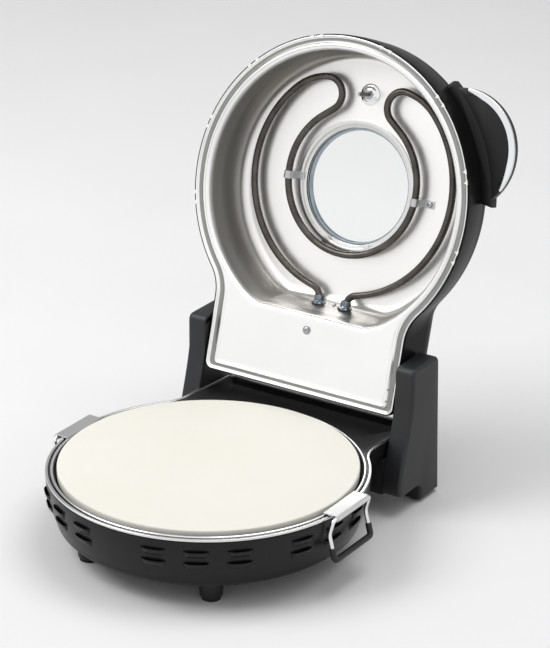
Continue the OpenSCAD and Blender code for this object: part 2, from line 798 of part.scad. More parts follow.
module thermostat() {
    color([0.8, 0.8, 0.78]) in_frame() translate([0, 0, well_z - pan_t - 8]) {
        cylinder(r = 12, h = 8, $fn = 48);
        for (s = [-1, 1]) translate([s * 6 - 3, -0.5, -5]) cube([6, 1, 6]);
    }
}

module terminal_block() {
    poles = 4;
    pitch = 12;
    w = poles * pitch + 2;
    gap = 1.5;
    rear = housing_rear - plastic_t - gap;
    d = min(18, rear - housing_cut_r - plastic_t - gap);
    color([0.85, 0.85, 0.8]) in_frame()
        translate([-w / 2, rear - d, housing_bottom + plastic_t]) difference() {
            cube([w, d, 14]);
            for (i = [0:poles - 1]) translate([w / 2 + pitch * (i - (poles - 1) / 2), d / 2, 6])
                cylinder(r = 3, h = 10, $fn = 24);
        }
}

module cord_gland() {
    color([0.05, 0.05, 0.05]) in_frame()
        translate([gland.x, housing_rear + 3, gland.y]) rotate([90, 0, 0]) difference() {
            union() {
                cylinder(r = gland_r + 2.5, h = 3, $fn = 48);
                cylinder(r = gland_r, h = plastic_t + 6, $fn = 48);
                translate([0, 0, plastic_t + 3]) cylinder(r = gland_r + 1.5, h = 3, $fn = 48);
            }
            translate([0, 0, -1]) cylinder(r = gland_r - 3, h = 30, $fn = 48);
        }
}

// ---------------------------------------------------------------- stone and tray

module stone_tray() {
    t = tray_sheet;
    r0 = tray_in_r;
    wall_top = tray_bead_z + t / 2;
    color([0.84, 0.85, 0.86]) in_frame() rotate_extrude($fn = 180) {
        polygon([[r0 + t - tray_ledge, tray_shelf_z - t], [r0 + t, tray_shelf_z - t],
                 [r0 + t, wall_top - t], [tray_r - tray_bead_r, wall_top - t],
                 [tray_r - tray_bead_r, wall_top], [r0, wall_top],
                 [r0, tray_shelf_z], [r0 + t - tray_ledge, tray_shelf_z]]);
        translate([tray_r - tray_bead_r, tray_bead_z]) circle(r = tray_bead_r, $fn = 32);
    }
}

module baking_stone() {
    e = 2;
    color([0.9, 0.86, 0.76]) in_frame() rotate_extrude($fn = 180) polygon(concat(
        [[0, tray_shelf_z], [stone_r, tray_shelf_z]],
        arc([stone_r - e, stone_top - e], e, 0, 90, 4),
        [[0, stone_top]]));
}

module tray_tab(left) {
    x0 = tray_in_r + 0.4;
    color([0.84, 0.85, 0.86]) in_frame() mirror_x(left) difference() {
        union() {
            translate([x0, -tray_tab_w / 2, tab_z]) cube([pivot_x - x0, tray_tab_w, tab_t]);
            translate([pivot_x, -tray_tab_w / 2, pivot_z]) rotate([-90, 0, 0])
                cylinder(r = barrel_r, h = tray_tab_w, $fn = 48);
        }
        translate([pivot_x, -tray_tab_w, pivot_z]) rotate([-90, 0, 0])
            cylinder(r = wire_r + pin_play, h = 2 * tray_tab_w, $fn = 48);
    }
}
module tray_tab_left() { tray_tab(true); }
module tray_tab_right() { tray_tab(false); }

// ---------------------------------------------------------------- bails

// Rounds each corner of a path in space with a curve that starts k before it.
function rounded(p, k) = concat([p[0]],
    [for (i = [1:len(p) - 2]) for (j = [0:3]) let (t = j / 3,
        a = p[i] + k * unit(p[i - 1] - p[i]), b = p[i] + k * unit(p[i + 1] - p[i]))
        (1 - t) * (1 - t) * a + 2 * t * (1 - t) * p[i] + t * t * b],
    [p[len(p) - 1]]);

bail_foot_z = pivot_z - bail_l;
bail_y = bail_w / 2;
elbow_z = pivot_z - 16;
sleeve_z = pivot_z - 30;

// One leg from the pivot down to height z, on the side s of the bail.
function bail_leg(s) = [
    [pivot_x, s * bail_y, pivot_z],
    [pivot_x - bail_elbow, s * bail_y, elbow_z],
    [pivot_x - 0.6, s * bail_y, sleeve_z],
    [pivot_x + bail_bar_out, s * bail_y, bail_foot_z]];

function bail_path() = concat(
    [[pivot_x, bail_y - 4, pivot_z]], bail_leg(1),
    [for (i = [3:-1:0]) bail_leg(-1)[i]], [[pivot_x, 4 - bail_y, pivot_z]]);

function grip_path() = concat(
    [for (i = [2:3]) bail_leg(1)[i]], [for (i = [3:-1:2]) bail_leg(-1)[i]]);

module bail_wire() {
    sweep(rounded(bail_path(), 3.4), wire_r + 0.08, [1, 0, 0]);
    for (s = [-1, 1]) translate([pivot_x, s * (bail_y - 9), pivot_z]) rotate([-90, 0, 0])
        cylinder(r = wire_r, h = 12, center = true, $fn = 48);
}

module bail(left) { color([0.8, 0.81, 0.82]) in_frame() mirror_x(left) bail_wire(); }
module bail_left() { bail(true); }
module bail_right() { bail(false); }

module bail_sleeve(left) {
    color([0.04, 0.04, 0.04]) in_frame() mirror_x(left) difference() {
        sweep(rounded(grip_path(), 3.4), sleeve_r, [1, 0, 0]);
        sweep(rounded(bail_path(), 3.4), wire_r + 0.08, [1, 0, 0]);
    }
}
module bail_sleeve_left() { bail_sleeve(true); }
module bail_sleeve_right() { bail_sleeve(false); }

// ---------------------------------------------------------------- lid shell

// Each level of the lid, k inside its skin: height above the rim, draw-in of the circle,
// draw-in of the neck, and how far the circle has moved forward.
function lid_levels(k) =
    let (wall = lid_h - crown_h)
    concat(
        [for (i = [0:4]) let (t = i / 4, h = wall * t)
            [h, lid_draft * pow(t, 1.5) + k, neck_draft * t + k, crown_forward * h / lid_h]],
        [for (i = [1:5]) let (a = 90 * i / 5, h = wall + (crown_h - k) * sin(a))
            [h, lid_draft + crown_w - (crown_w - k) * cos(a),
             neck_draft + neck_crown - (neck_crown - k) * cos(a), crown_forward * h / lid_h]]);

function lid_outline(v) =
    keyhole(base_r - v[1], neck_x - v[2], lid_l - v[2], neck_blend + v[2],
            max(neck_corner - v[2] / 2, 3), -v[3]);

module lid_solid(k, drop) {
    v = lid_levels(k);
    loft([for (w = v) lid_outline(w)], [for (i = [0:len(v) - 1]) lid_z + v[i][0] - (i == 0 ? drop : 0)]);
}

handle_hole_a = [-12, 12];
handle_mid_z = lid_z + handle_d + handle_t / 2;
wall_at_handle = base_r - lid_draft * pow((handle_d + handle_t / 2) / (lid_h - crown_h), 1.5);
handle_base_y = -crown_forward * handle_d / lid_h;

module at_handle_screws() {
    for (a = handle_hole_a) translate([0, handle_base_y, handle_mid_z])
        rotate(a - handle_angle) translate([wall_at_handle - lid_t - 0.6, 0, 0])
            rotate([0, -90, 0]) children();
}

module lid_shell() {
    color([0.05, 0.05, 0.055]) lid_open() difference() {
        lid_solid(0, 0);
        lid_solid(lid_t, 1);
        translate([0, window_y, lid_z + lid_h - 5]) cylinder(r = glass_r + fit, h = 10, $fn = 120);
        along_x(-behind) translate([hinge_y, hinge_z])
            cylinder(r = pin_r + 1.5, h = 2 * behind, $fn = 48);
        at_handle_screws() cylinder(r = 1.6, h = 20, center = true, $fn = 24);
    }
}

// ---------------------------------------------------------------- lid liner

liner_wall_h = ceiling_d - liner_corner;

// Levels of the liner's bowl: height above the rim, draw-in, and forward shift.
function liner_levels() = concat(
    [for (i = [0:4]) let (t = i / 4, h = band_d + (liner_wall_h - band_d) * t)
        [h, liner_draft * pow(t, 1.3), crown_forward * h / lid_h]],
    [for (i = [1:4]) let (a = 90 * i / 4, h = liner_wall_h + liner_corner * sin(a))
        [h, liner_draft + liner_corner * (1 - cos(a)), crown_forward * h / lid_h]]);

module liner_bowl(k, drop, rise) {
    v = liner_levels();
    last = len(v) - 1;
    loft([for (w = v) bowl_outline(mouth_r - w[1] + k, chord_y - w[1] + k, chord_round, -w[2])],
         [for (i = [0:last]) lid_z + v[i][0] - (i == 0 ? drop : 0) + (i == last ? rise : 0)]);
}

module rounded_bar(x0, y0, x1, y1, r) {
    hull() for (x = [x0 + r, x1 - r]) for (y = [y0 + r, y1 - r])
        translate([x, y]) circle(r = r, $fn = 24);
}

panel_x = neck_x - neck_border;
panel_front = chord_y + 3;
panel_rear = lid_l - 8;

module liner_sheet() {
    lip = 1.2;
    bead = 1.5;
    difference() {
        union() {
            difference() {
                slab(lid_outline([0, liner_edge, liner_edge, 0]), lid_z, liner_floor + liner_t);
                slab(lid_outline([0, liner_edge + lip, liner_edge + lip, 0]), lid_z - 1, liner_floor);
            }
            liner_bowl(liner_t, 0, liner_t);
            translate([0, 0, liner_floor - bead]) linear_extrude(bead + eps)
                rounded_bar(-panel_x, panel_front, panel_x, panel_rear, 6);
            translate([0, 0, liner_floor - lip]) linear_extrude(lip + eps)
                polygon(bowl_outline(mouth_r + 1.4, chord_y + 1.4, chord_round, 0));
        }
        liner_bowl(0, 3, 0);
        translate([0, 0, liner_floor - bead - 1]) linear_extrude(bead + 1)
            rounded_bar(neck_bead - panel_x, panel_front + neck_bead,
                        panel_x - neck_bead, panel_rear - neck_bead, 4);
        translate([0, window_y, ceiling_z - 5]) cylinder(r = collar_r, h = 10, $fn = 120);
        for (s = [-1, 1]) translate([s * terminal_x, chord_y - 30, element_z]) rotate([-90, 0, 0])
            cylinder(r = bush_r, h = 60, $fn = 32);
        at_bracket_screws() cylinder(r = 1.5, h = 20, center = true, $fn = 24);
        translate([0, stud_y, ceiling_z]) cylinder(r = 2.5, h = 9, center = true, $fn = 32);
        translate([0, neck_screw_y, liner_floor]) cylinder(r = 2, h = 9, center = true, $fn = 24);
        for (s = [-1, 1]) translate([s * clip_hole_x, element_y + 7, ceiling_z])
            cylinder(r = 1.5, h = 9, center = true, $fn = 24);
    }
}

// The level of the seam between the liner's wall and its ceiling pan.
module above_seam() {
    translate([-base_r, -base_r, ceiling_z - liner_corner - 1]) cube([2 * base_r, 2 * base_r, 2 * liner_corner]);
}

module lid_liner() {
    color([0.7, 0.71, 0.72]) lid_open() difference() {
        liner_sheet();
        above_seam();
    }
}

module liner_ceiling() {
    color([0.72, 0.73, 0.74]) lid_open() intersection() {
        liner_sheet();
        above_seam();
    }
}

tab_angles = [14.7, 44, 73.3, 102.6];

// Small triangles of the shell's edge, bent in over the liner's flange.
module rim_tabs() {
    w = 6;
    color([0.75, 0.76, 0.77]) lid_open() for (g = tab_angles) for (side = [-1, 1]) for (s = [-1, 1])
        rotate(-90 + side * g + s * 1.9) translate([base_r - 4.4, 0, lid_z - 0.7])
            linear_extrude(0.7) polygon([[0, s * 0.4], [4, -w / 2 * 0.8], [4, w / 2 * 0.8]]);
}

// ---------------------------------------------------------------- window

glass_z = ceiling_z + 3.2;

module window_ring() {
    r1 = glass_r + fit;
    color([0.75, 0.76, 0.77]) lid_open() translate([0, window_y, 0]) rotate_extrude($fn = 120) polygon([
        [r1, lid_z + lid_h - lid_t], [collar_r, lid_z + lid_h - lid_t],
        [collar_r, ceiling_z], [collar_r + 3, ceiling_z], [collar_r + 3, ceiling_z - 0.8],
        [r1, ceiling_z - 0.8], [r1, glass_z - 1], [window_r, glass_z - 1],
        [window_r, glass_z], [r1, glass_z]]);
}

module window_glass() {
    color([0.6, 0.65, 0.68, 0.5]) lid_open()
        translate([0, window_y, glass_z]) cylinder(r = glass_r, h = glass_t, $fn = 120);
}

module window_bezel() {
    top = lid_z + lid_h;
    color([0.75, 0.76, 0.77]) lid_open() translate([0, window_y, 0]) rotate_extrude($fn = 120) polygon([
        [window_r, glass_z + glass_t], [glass_r - fit, glass_z + glass_t],
        [glass_r - fit, top], [window_r + bezel_w, top],
        [window_r + bezel_w - 1, top + 1.6], [window_r + 1, top + 1.6], [window_r, top + 1]]);
}

module window_tabs() {
    color([0.75, 0.76, 0.77]) lid_open() for (s = [-1, 1])
        translate([0, window_y, ceiling_z - 1.6]) rotate(90 + s * 22)
            translate([window_r + 1, -3, 0]) cube([8, 6, 0.8]);
}

// ---------------------------------------------------------------- upper element

// Half of the tube's path: centres and angles of its arcs, all tangent to each other.
arc_o = [0, element_y];
turn_c = [turn_x, element_y - turn_y];
turn_v = turn_c - arc_o;
inner_a = atan2(turn_v.y, turn_v.x) + acos((inner_arc + turn_r) / norm(turn_v));

// The blend arc's centre lies at these distances from the turn's centre and the arcs' centre.
blend_u = blend_arc - turn_r;
blend_o = outer_arc - blend_arc;
blend_along = (pow(blend_o, 2) - pow(blend_u, 2) + turn_v * turn_v) / (2 * norm(turn_v));
blend_side = sqrt(pow(blend_o, 2) - pow(blend_along, 2));
blend_dir = unit(turn_v);
blend_c = arc_o + blend_along * blend_dir + blend_side * [-blend_dir.y, blend_dir.x];

turn_out_a = atan2(turn_c.y - blend_c.y, turn_c.x - blend_c.x);
outer_in_a = atan2(blend_c.y - arc_o.y, blend_c.x - arc_o.x);
tail_end_y = chord_y + 6;

element_half = concat(
    arc(arc_o, inner_arc, 90, inner_a, 18),
    arc(turn_c, turn_r, inner_a + 180, turn_out_a + 360, 9),
    arc_on(blend_c, blend_arc, turn_out_a, outer_in_a, 5),
    ring_end(element_y, outer_arc, outer_in_a, tail_end_y, 13));

module upper_element() {
    color([0.3, 0.3, 0.32]) lid_open() translate([0, 0, element_z]) flat_tube(element_half);
}

clip_hole_x = inner_arc + 12.5;

module element_clips() {
    y = element_y + 7;
    t = 1;
    color([0.72, 0.73, 0.74]) lid_open() for (s = [-1, 1]) difference() {
        union() {
            translate([s * inner_arc, y, element_z]) rotate([90, 0, 0])
                cylinder(r = tube_r + t, h = clip_w, center = true, $fn = 48);
            translate([s * inner_arc - tube_r - t, y - clip_w / 2, element_z])
                cube([2 * (tube_r + t), clip_w, ceiling_z - element_z]);
            translate([min(s * inner_arc, s * (clip_hole_x + 5)), y - clip_w / 2, ceiling_z - t])
                cube([clip_hole_x + 5 - inner_arc, clip_w, t]);
        }
        translate([0, 0, element_z]) arc_tube(arc_o, inner_arc, s > 0 ? -20 : 160, s > 0 ? 30 : 210);
        translate([s * inner_arc - tube_r - fit, y - clip_w, element_z])
            cube([2 * (tube_r + fit), 2 * clip_w, ceiling_z]);
        translate([s * clip_hole_x, y, ceiling_z]) cylinder(r = 1.5, h = 9, center = true, $fn = 24);
    }
}

module element_bushes() {
    color([0.55, 0.58, 0.62]) lid_open() for (s = [-1, 1])
        translate([s * terminal_x, chord_y - 14, element_z]) rotate([-90, 0, 0]) difference() {
            cylinder(r = bush_r, h = 16, $fn = 32);
            translate([0, 0, -1]) cylinder(r = tube_r, h = 30, $fn = 32);
        }
}

stud_y = -102;
neck_screw_y = chord_y + 10;

module clip_screws() {
    color([0.7, 0.7, 0.72]) lid_open() for (s = [-1, 1])
        translate([s * clip_hole_x, element_y + 7, ceiling_z - 1]) rotate([180, 0, 0])
            screw(3, 1.6, 1.5, 4);
}

module ceiling_washer() {
    color([0.72, 0.73, 0.74]) lid_open() translate([0, stud_y, ceiling_z]) rotate([180, 0, 0])
        rotate_extrude($fn = 64) polygon([[2.5, 0], [11, 0], [9, 1.6], [6, 2.4], [2.5, 2.4]]);
}

module ceiling_stud() {
    color([0.65, 0.66, 0.68]) lid_open() translate([0, stud_y, ceiling_z]) {
        translate([0, 0, -9]) cylinder(r = 2.5, h = 9 + liner_t + 2, $fn = 32);
        translate([0, 0, -2.4 - 4]) cylinder(r = 4.6, h = 4, $fn = 6);
        translate([0, 0, liner_t]) cylinder(r = 5, h = 2, $fn = 32);
    }
}

module neck_screw() {
    color([0.7, 0.7, 0.72]) lid_open() translate([0, neck_screw_y, liner_floor]) rotate([180, 0, 0])
        screw(3.4, 1.2, 2, 4);
}

module thermal_cutout() {
    color([0.75, 0.75, 0.7]) lid_open() translate([40, neck_screw_y + 12, liner_floor + liner_t]) {
        cylinder(r = 8, h = 6, $fn = 48);
        for (s = [-1, 1]) translate([s * 4 - 2.5, -0.5, 5.5]) cube([5, 1, 6]);
    }
}

// ---------------------------------------------------------------- hinge brackets

bracket_base_z = liner_floor + liner_t;
bracket_w = 20;

module at_bracket_screws() {
    for (s = [-1, 1]) for (y = [-6, 6])
        translate([s * (bracket_out - 9), hinge_y + y - 2, bracket_base_z + 1.6]) children();
}

module hinge_bracket(left) {
    color([0.6, 0.6, 0.62]) lid_open() difference() {
        mirror_x(left) difference() {
            union() {
                translate([bracket_out - 15, hinge_y - 2 - bracket_w / 2, bracket_base_z])
                    cube([15, bracket_w, 1.6]);
                translate([bracket_out - bracket_t, hinge_y - bracket_w / 2, bracket_base_z])
                    cube([bracket_t, bracket_w - 4, hinge_z - bracket_base_z]);
                along_x(bracket_out - bracket_t) translate([hinge_y, hinge_z])
                    cylinder(r = pin_r + 5, h = bracket_t, $fn = 48);
            }
            along_x(bracket_out - bracket_t - 1) translate([hinge_y, hinge_z])
                cylinder(r = pin_r + pin_play, h = bracket_t + 2);
        }
        at_bracket_screws() cylinder(r = 1.5, h = 9, center = true, $fn = 24);
    }
}
module hinge_bracket_left() { hinge_bracket(true); }
module hinge_bracket_right() { hinge_bracket(false); }

module bracket_screws() {
    color([0.7, 0.7, 0.72]) lid_open() at_bracket_screws() screw(2.8, 1.6, 1.5, 4);
}

// ---------------------------------------------------------------- lid handle

ridge_out = 6.5;
ridge_half_a = 23.5;
strip_half_a = 61;
strip_h = 3;

module sector(c, r_in, r_out, a0, a1, z0, z1) {
    translate([c.x, c.y, z0]) rotate(a0) rotate_extrude(angle = a1 - a0, $fn = 180)
        translate([r_in, 0]) square([r_out - r_in, z1 - z0]);
}

module lid_handle() {
    z0 = lid_z + handle_d;
    color([0.08, 0.08, 0.085]) lid_open() difference() {
        union() {
            translate([handle_x, handle_y, z0]) cylinder(r = handle_r, h = handle_t - 2, $fn = 120);
            translate([handle_x, handle_y, z0 + handle_t - 2])
                cylinder(r1 = handle_r, r2 = handle_r - 2, h = 2, $fn = 120);
            sector([0, 0], base_r - 20, base_r + ridge_out, -handle_angle - ridge_half_a,
                   -handle_angle + ridge_half_a, z0 - 1, z0 + handle_t + 2);
        }
        lid_solid(0, 0);
        translate([0, 0, z0 - 20]) cylinder(r = base_r - 12, h = 60);
        handle_strip_body();
        at_handle_screws() cylinder(r = 1.4, h = 30, center = true, $fn = 24);
    }
}

module handle_strip_body() {
    sector([handle_x, handle_y], handle_r - strip_w, handle_r + 1, -handle_angle - strip_half_a,
           -handle_angle + strip_half_a, lid_z + handle_d - 1, lid_z + handle_d + strip_h);
}

module handle_strip() {
    color([0.85, 0.86, 0.87]) lid_open() intersection() {
        handle_strip_body();
        translate([handle_x, handle_y, lid_z + handle_d]) cylinder(r = handle_r, h = handle_t, $fn = 120);
    }
}

module handle_screws() {
    color([0.7, 0.7, 0.72]) lid_open() at_handle_screws() screw(2.8, 1.6, 1.4, 12);
}

// ---------------------------------------------------------------- what is drawn

base_shell();
rim_trim();
reflector_pan();
bottom_plate();
bottom_screws();
front_foot_left();
front_foot_right();
foot_pads();
rear_housing();
tower_left();
tower_right();
tower_cover_left();
tower_cover_right();
tower_screws();
rear_pads();
hinge_pin_left();
hinge_pin_right();
lower_element();
lower_clips();
lower_bushes();
thermostat();
terminal_block();
cord_gland();
stone_tray();
tray_tab_left();
tray_tab_right();
baking_stone();
bail_left();
bail_right();
bail_sleeve_left();
bail_sleeve_right();
lid_shell();
lid_liner();
liner_ceiling();
rim_tabs();
window_ring();
window_glass();
window_bezel();
window_tabs();
upper_element();
element_clips();
element_bushes();
clip_screws();
ceiling_washer();
ceiling_stud();
neck_screw();
thermal_cutout();
hinge_bracket_left();
hinge_bracket_right();
bracket_screws();
lid_handle();
handle_strip();
handle_screws();
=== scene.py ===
import json
import math

import bmesh
import bpy
from mathutils import Matrix, Vector


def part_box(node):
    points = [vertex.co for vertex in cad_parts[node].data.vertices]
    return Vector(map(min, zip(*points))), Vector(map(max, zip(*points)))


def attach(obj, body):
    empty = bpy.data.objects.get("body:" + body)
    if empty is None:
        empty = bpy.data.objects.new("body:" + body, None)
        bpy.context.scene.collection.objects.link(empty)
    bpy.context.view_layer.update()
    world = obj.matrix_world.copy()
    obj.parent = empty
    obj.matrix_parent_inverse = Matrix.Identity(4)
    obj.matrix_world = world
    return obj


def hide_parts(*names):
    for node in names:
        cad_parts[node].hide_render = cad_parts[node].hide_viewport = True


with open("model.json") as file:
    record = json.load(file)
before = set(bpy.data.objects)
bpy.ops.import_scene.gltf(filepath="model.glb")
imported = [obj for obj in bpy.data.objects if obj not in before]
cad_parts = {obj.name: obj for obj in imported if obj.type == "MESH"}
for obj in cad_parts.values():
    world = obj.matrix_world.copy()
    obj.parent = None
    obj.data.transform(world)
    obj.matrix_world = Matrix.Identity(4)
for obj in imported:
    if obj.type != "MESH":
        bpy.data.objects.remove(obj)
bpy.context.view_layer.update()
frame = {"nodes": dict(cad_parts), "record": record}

# ---------------------------------------------------------------- places and driving sizes
# Drawing units are millimetres. X = Y = 0 lies under the stone's centre, the table is Z = 0,
# and the lid's pieces are drawn closed and then turned open about the hinge.

MM = 0.001
stone_low, stone_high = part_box("baking_stone")
joints = {j["name"]: j for j in frame["record"]["behaviour"]["joints"]}
hinge = Vector(joints["lid_hinge"]["pos_m"])
open_angle = joints["lid_hinge"]["range_deg"][1]

BENCH = Matrix.Translation(((stone_low.x + stone_high.x) / 2, (stone_low.y + stone_high.y) / 2, 0)) \
    @ Matrix.Diagonal((MM, MM, MM, 1))
LID = Matrix.Translation(hinge) @ Matrix.Rotation(math.radians(-open_angle), 4, "X") \
    @ Matrix.Translation(-hinge) @ BENCH

BASE_BODY, LID_BODY = "base", "lid"
BAIL_BODIES = {-1: "bail_left_body", 1: "bail_right_body"}

RIM_Z = 80.0
BASE_R = 161.5
NECK_X = 115.0
NECK_L = 210.0
NECK_BLEND = 45.0
NECK_CORNER = 8.0
TRIM_W = 3.8
TRIM_SEEN_W = 2.7
TRIM_T = 2.2
FLANGE_Z = RIM_Z - TRIM_T
BOWL_Z = 25.2
BOWL_TAPER = 12.0
BOWL_CORNER = 5.0
BEND_Y = 140.0
DROOP = math.radians(4)
NECK_WALL_H = 18.0
SHELL_T = 1.2
FOOT_SPOT_R = 125.6
FOOT_ANGLE = math.radians(35.3)
LOUVRE_GROUPS = (-83, -30, 30, 83)
LOUVRE_STEP = 15
LOUVRE_ROWS = (63.5, 50.5)

STONE_R = 150.0
STONE_TOP = RIM_Z + 4
STONE_T = 10.6
TRAY_IN_R = STONE_R + 1.4
TRAY_R = BASE_R - TRIM_W - 0.5
BEAD_R = 1.6
TRAY_WALL_R = 152.9
WELL_R = TRAY_WALL_R + 1.8

LID_GAP = 4.4
LID_Z = RIM_Z + LID_GAP
LID_H = 66.0
LID_L = NECK_L - 1.5
LID_T = 1.0
LID_DRAFT = 7.0
CROWN_W = 22.0
CROWN_H = 20.0
CROWN_FORWARD = 5.0
NECK_DRAFT = 1.5
NECK_CROWN = 7.5
HINGE_Y = 190.5

CEILING_D = 56.0
BAND_D = 2.5
LINER_T = 0.8
LINER_DRAFT = 10.0
LINER_CORNER = 11.0
MOUTH_R = STONE_R - 1
CHORD_Y = 133.5
CHORD_ROUND = 74.0
WINDOW_R = 61.0
WINDOW_Y = -5.5
GLASS_R = WINDOW_R + 3.4
STUD_Y = -102.0
CLIP_Y = -4.0
NECK_SCREW_Y = CHORD_Y + 10

TUBE_R = 3.7
ELEMENT_D = 46.0
ELEMENT_Y = -11.0
OUTER_ARC = 118.0
INNER_ARC = 76.3
TURN_R = 17.7
TURN_C = (45.0, ELEMENT_Y - 84.0)
BLEND_ARC = 60.0
TAIL_R = 14.0
TERMINAL_X = 16.0
LOWER_R = 105.0
LOWER_END_Y = 156.6

HANDLE_A = math.radians(-29.3)
HANDLE_C = (138 * math.cos(HANDLE_A), 138 * math.sin(HANDLE_A))
HANDLE_R = 62.0
HANDLE_D = 38.0
HANDLE_T = 11.0
STRIP_W = 6.5

TAB_T = 1.2
TAB_HALF = 28.5
BARREL_R = 3.25
PIVOT_X = TRAY_R + 9
TAB_Z = FLANGE_Z + 2 * BEAD_R
PIVOT_Z = TAB_Z + TAB_T - BARREL_R
BAIL_HALF = 33.0
BAIL_PIN = 15.0
WIRE_R = 2.0
GRIP_R = 3.1

TOWER_X = NECK_X + 1
TOWER_IN_X = 119.5
TOWER_T = 21.4
TOWER_H = 155.0
TOWER_REAR = HINGE_Y + 25
TOWER_ROUND = 4.0

VIEW_TURN = math.radians(32.78)
VIEW_RIGHT = Vector((0.83901, 0.54407, 0.00744))
VIEW_UP = Vector((-0.21693, 0.32191, 0.92158))
VIEW_SPOT = Vector((1438.77, -2114.63, 1309.48))
LENS, SENSOR_W = 159.0, 36.0

# ---------------------------------------------------------------- finishes


def new_material(name):
    """A material with its nodes, its shader and the coordinates of the piece it is on."""
    m = bpy.data.materials.new(name)
    m.use_nodes = True
    nodes, links = m.node_tree.nodes, m.node_tree.links
    shader = nodes["Principled BSDF"]
    place = nodes.new("ShaderNodeTexCoord")
    return m, nodes, links, shader, place


def noise(nodes, links, place, scale, detail=4.0, stretch=(1, 1, 1)):
    """Noise of a given scale per metre, stretched along an axis where stretch is small."""
    mapping = nodes.new("ShaderNodeMapping")
    mapping.inputs["Scale"].default_value = stretch
    links.new(place.outputs["Object"], mapping.inputs["Vector"])
    n = nodes.new("ShaderNodeTexNoise")
    n.inputs["Scale"].default_value = scale
    n.inputs["Detail"].default_value = detail
    links.new(mapping.outputs["Vector"], n.inputs["Vector"])
    return n


def spread(nodes, links, source, low, high, socket):
    """Maps a noise to the range low to high and feeds it to a shader's socket."""
    r = nodes.new("ShaderNodeMapRange")
    r.inputs["From Min"].default_value = 0.3
    r.inputs["From Max"].default_value = 0.7
    r.inputs["To Min"].default_value = low
    r.inputs["To Max"].default_value = high
    links.new(source.outputs["Fac"], r.inputs["Value"])
    links.new(r.outputs["Result"], socket)


def tint(nodes, links, source, dark, light, socket):
    """Mixes two shades of a finish by a noise."""
    ramp = nodes.new("ShaderNodeValToRGB")
    ramp.color_ramp.elements[0].position = 0.3
    ramp.color_ramp.elements[1].position = 0.7
    ramp.color_ramp.elements[0].color = (*dark, 1)
    ramp.color_ramp.elements[1].color = (*light, 1)
    links.new(source.outputs["Fac"], ramp.inputs["Fac"])
    links.new(ramp.outputs["Color"], socket)


def relief(nodes, links, source, strength, distance, shader):
    """A fine bump from a noise."""
    b = nodes.new("ShaderNodeBump")
    b.inputs["Strength"].default_value = strength
    b.inputs["Distance"].default_value = distance
    links.new(source.outputs["Fac"], b.inputs["Height"])
    links.new(b.outputs["Normal"], shader.inputs["Normal"])


def finish(name, dark, light, rough, metal=0.0, grain=400.0, bump=(0.1, 0.0002),
           stretch=(1, 1, 1), coat=0.0, patch=14.0, sheen=0.5):
    """One finish: two shades in broad patches, a roughness range and a fine relief."""
    m, nodes, links, shader, place = new_material(name)
    broad = noise(nodes, links, place, patch, 3)
    fine = noise(nodes, links, place, grain, 3, stretch)
    tint(nodes, links, broad, dark, light, shader.inputs["Base Color"])
    spread(nodes, links, fine, rough[0], rough[1], shader.inputs["Roughness"])
    relief(nodes, links, fine, bump[0], bump[1], shader)
    shader.inputs["Metallic"].default_value = metal
    shader.inputs["Specular IOR Level"].default_value = sheen
    shader.inputs["Coat Weight"].default_value = coat
    shader.inputs["Coat Roughness"].default_value = 0.12
    return m


def steel_with_painted_wall_shade(name):
    """Sheet steel with painted shade: its deep-drawn wall is painted darker than its flat border and
    ceiling.
    """
    m, nodes, links, shader, place = new_material(name)
    mouth = LID @ Vector((0, 0, LID_Z))
    axis = ((LID @ Vector((0, 0, LID_Z + 1000))) - mouth).normalized()
    depth = nodes.new("ShaderNodeVectorMath")
    depth.operation = "DOT_PRODUCT"
    depth.inputs[1].default_value = axis
    links.new(place.outputs["Object"], depth.inputs[0])
    along = nodes.new("ShaderNodeMapRange")
    along.inputs["From Min"].default_value = mouth.dot(axis)
    along.inputs["From Max"].default_value = mouth.dot(axis) + (CEILING_D + 4) * MM
    links.new(depth.outputs["Value"], along.inputs["Value"])
    ramp = nodes.new("ShaderNodeValToRGB")
    # painted shade: the stops from 0.16 to 0.70 paint the drawn wall dark, darker further in, between the
    # bright border and ceiling
    stops = ((0.0, (0.95, 0.95, 0.945)), (0.06, (0.95, 0.95, 0.945)), (0.16, (0.36, 0.35, 0.335)),
             (0.70, (0.27, 0.26, 0.245)), (0.88, (0.66, 0.65, 0.63)), (0.93, (0.96, 0.95, 0.93)))
    band = ramp.color_ramp
    band.elements[0].position, band.elements[1].position = stops[0][0], stops[-1][0]
    for at, _ in stops[1:-1]:
        band.elements.new(at)
    for element, (_, shade_of) in zip(band.elements, stops):
        element.color = (*shade_of, 1)
    links.new(along.outputs["Result"], ramp.inputs["Fac"])
    broad = noise(nodes, links, place, 9, 3)
    patches = nodes.new("ShaderNodeMix")
    patches.data_type = "RGBA"
    patches.blend_type = "MULTIPLY"
    patches.inputs["Factor"].default_value = 1.0
    links.new(ramp.outputs["Color"], patches.inputs["A"])
    tint(nodes, links, broad, (0.95, 0.95, 0.95), (1.0, 1.0, 1.0), patches.inputs["B"])
    links.new(patches.outputs["Result"], shader.inputs["Base Color"])
    fine = noise(nodes, links, place, 260, 2, (1, 0.1, 0.1))
    spread(nodes, links, fine, 0.31, 0.36, shader.inputs["Roughness"])
    relief(nodes, links, fine, 0.012, 0.00002, shader)
    shader.inputs["Metallic"].default_value = 1.0
    return m


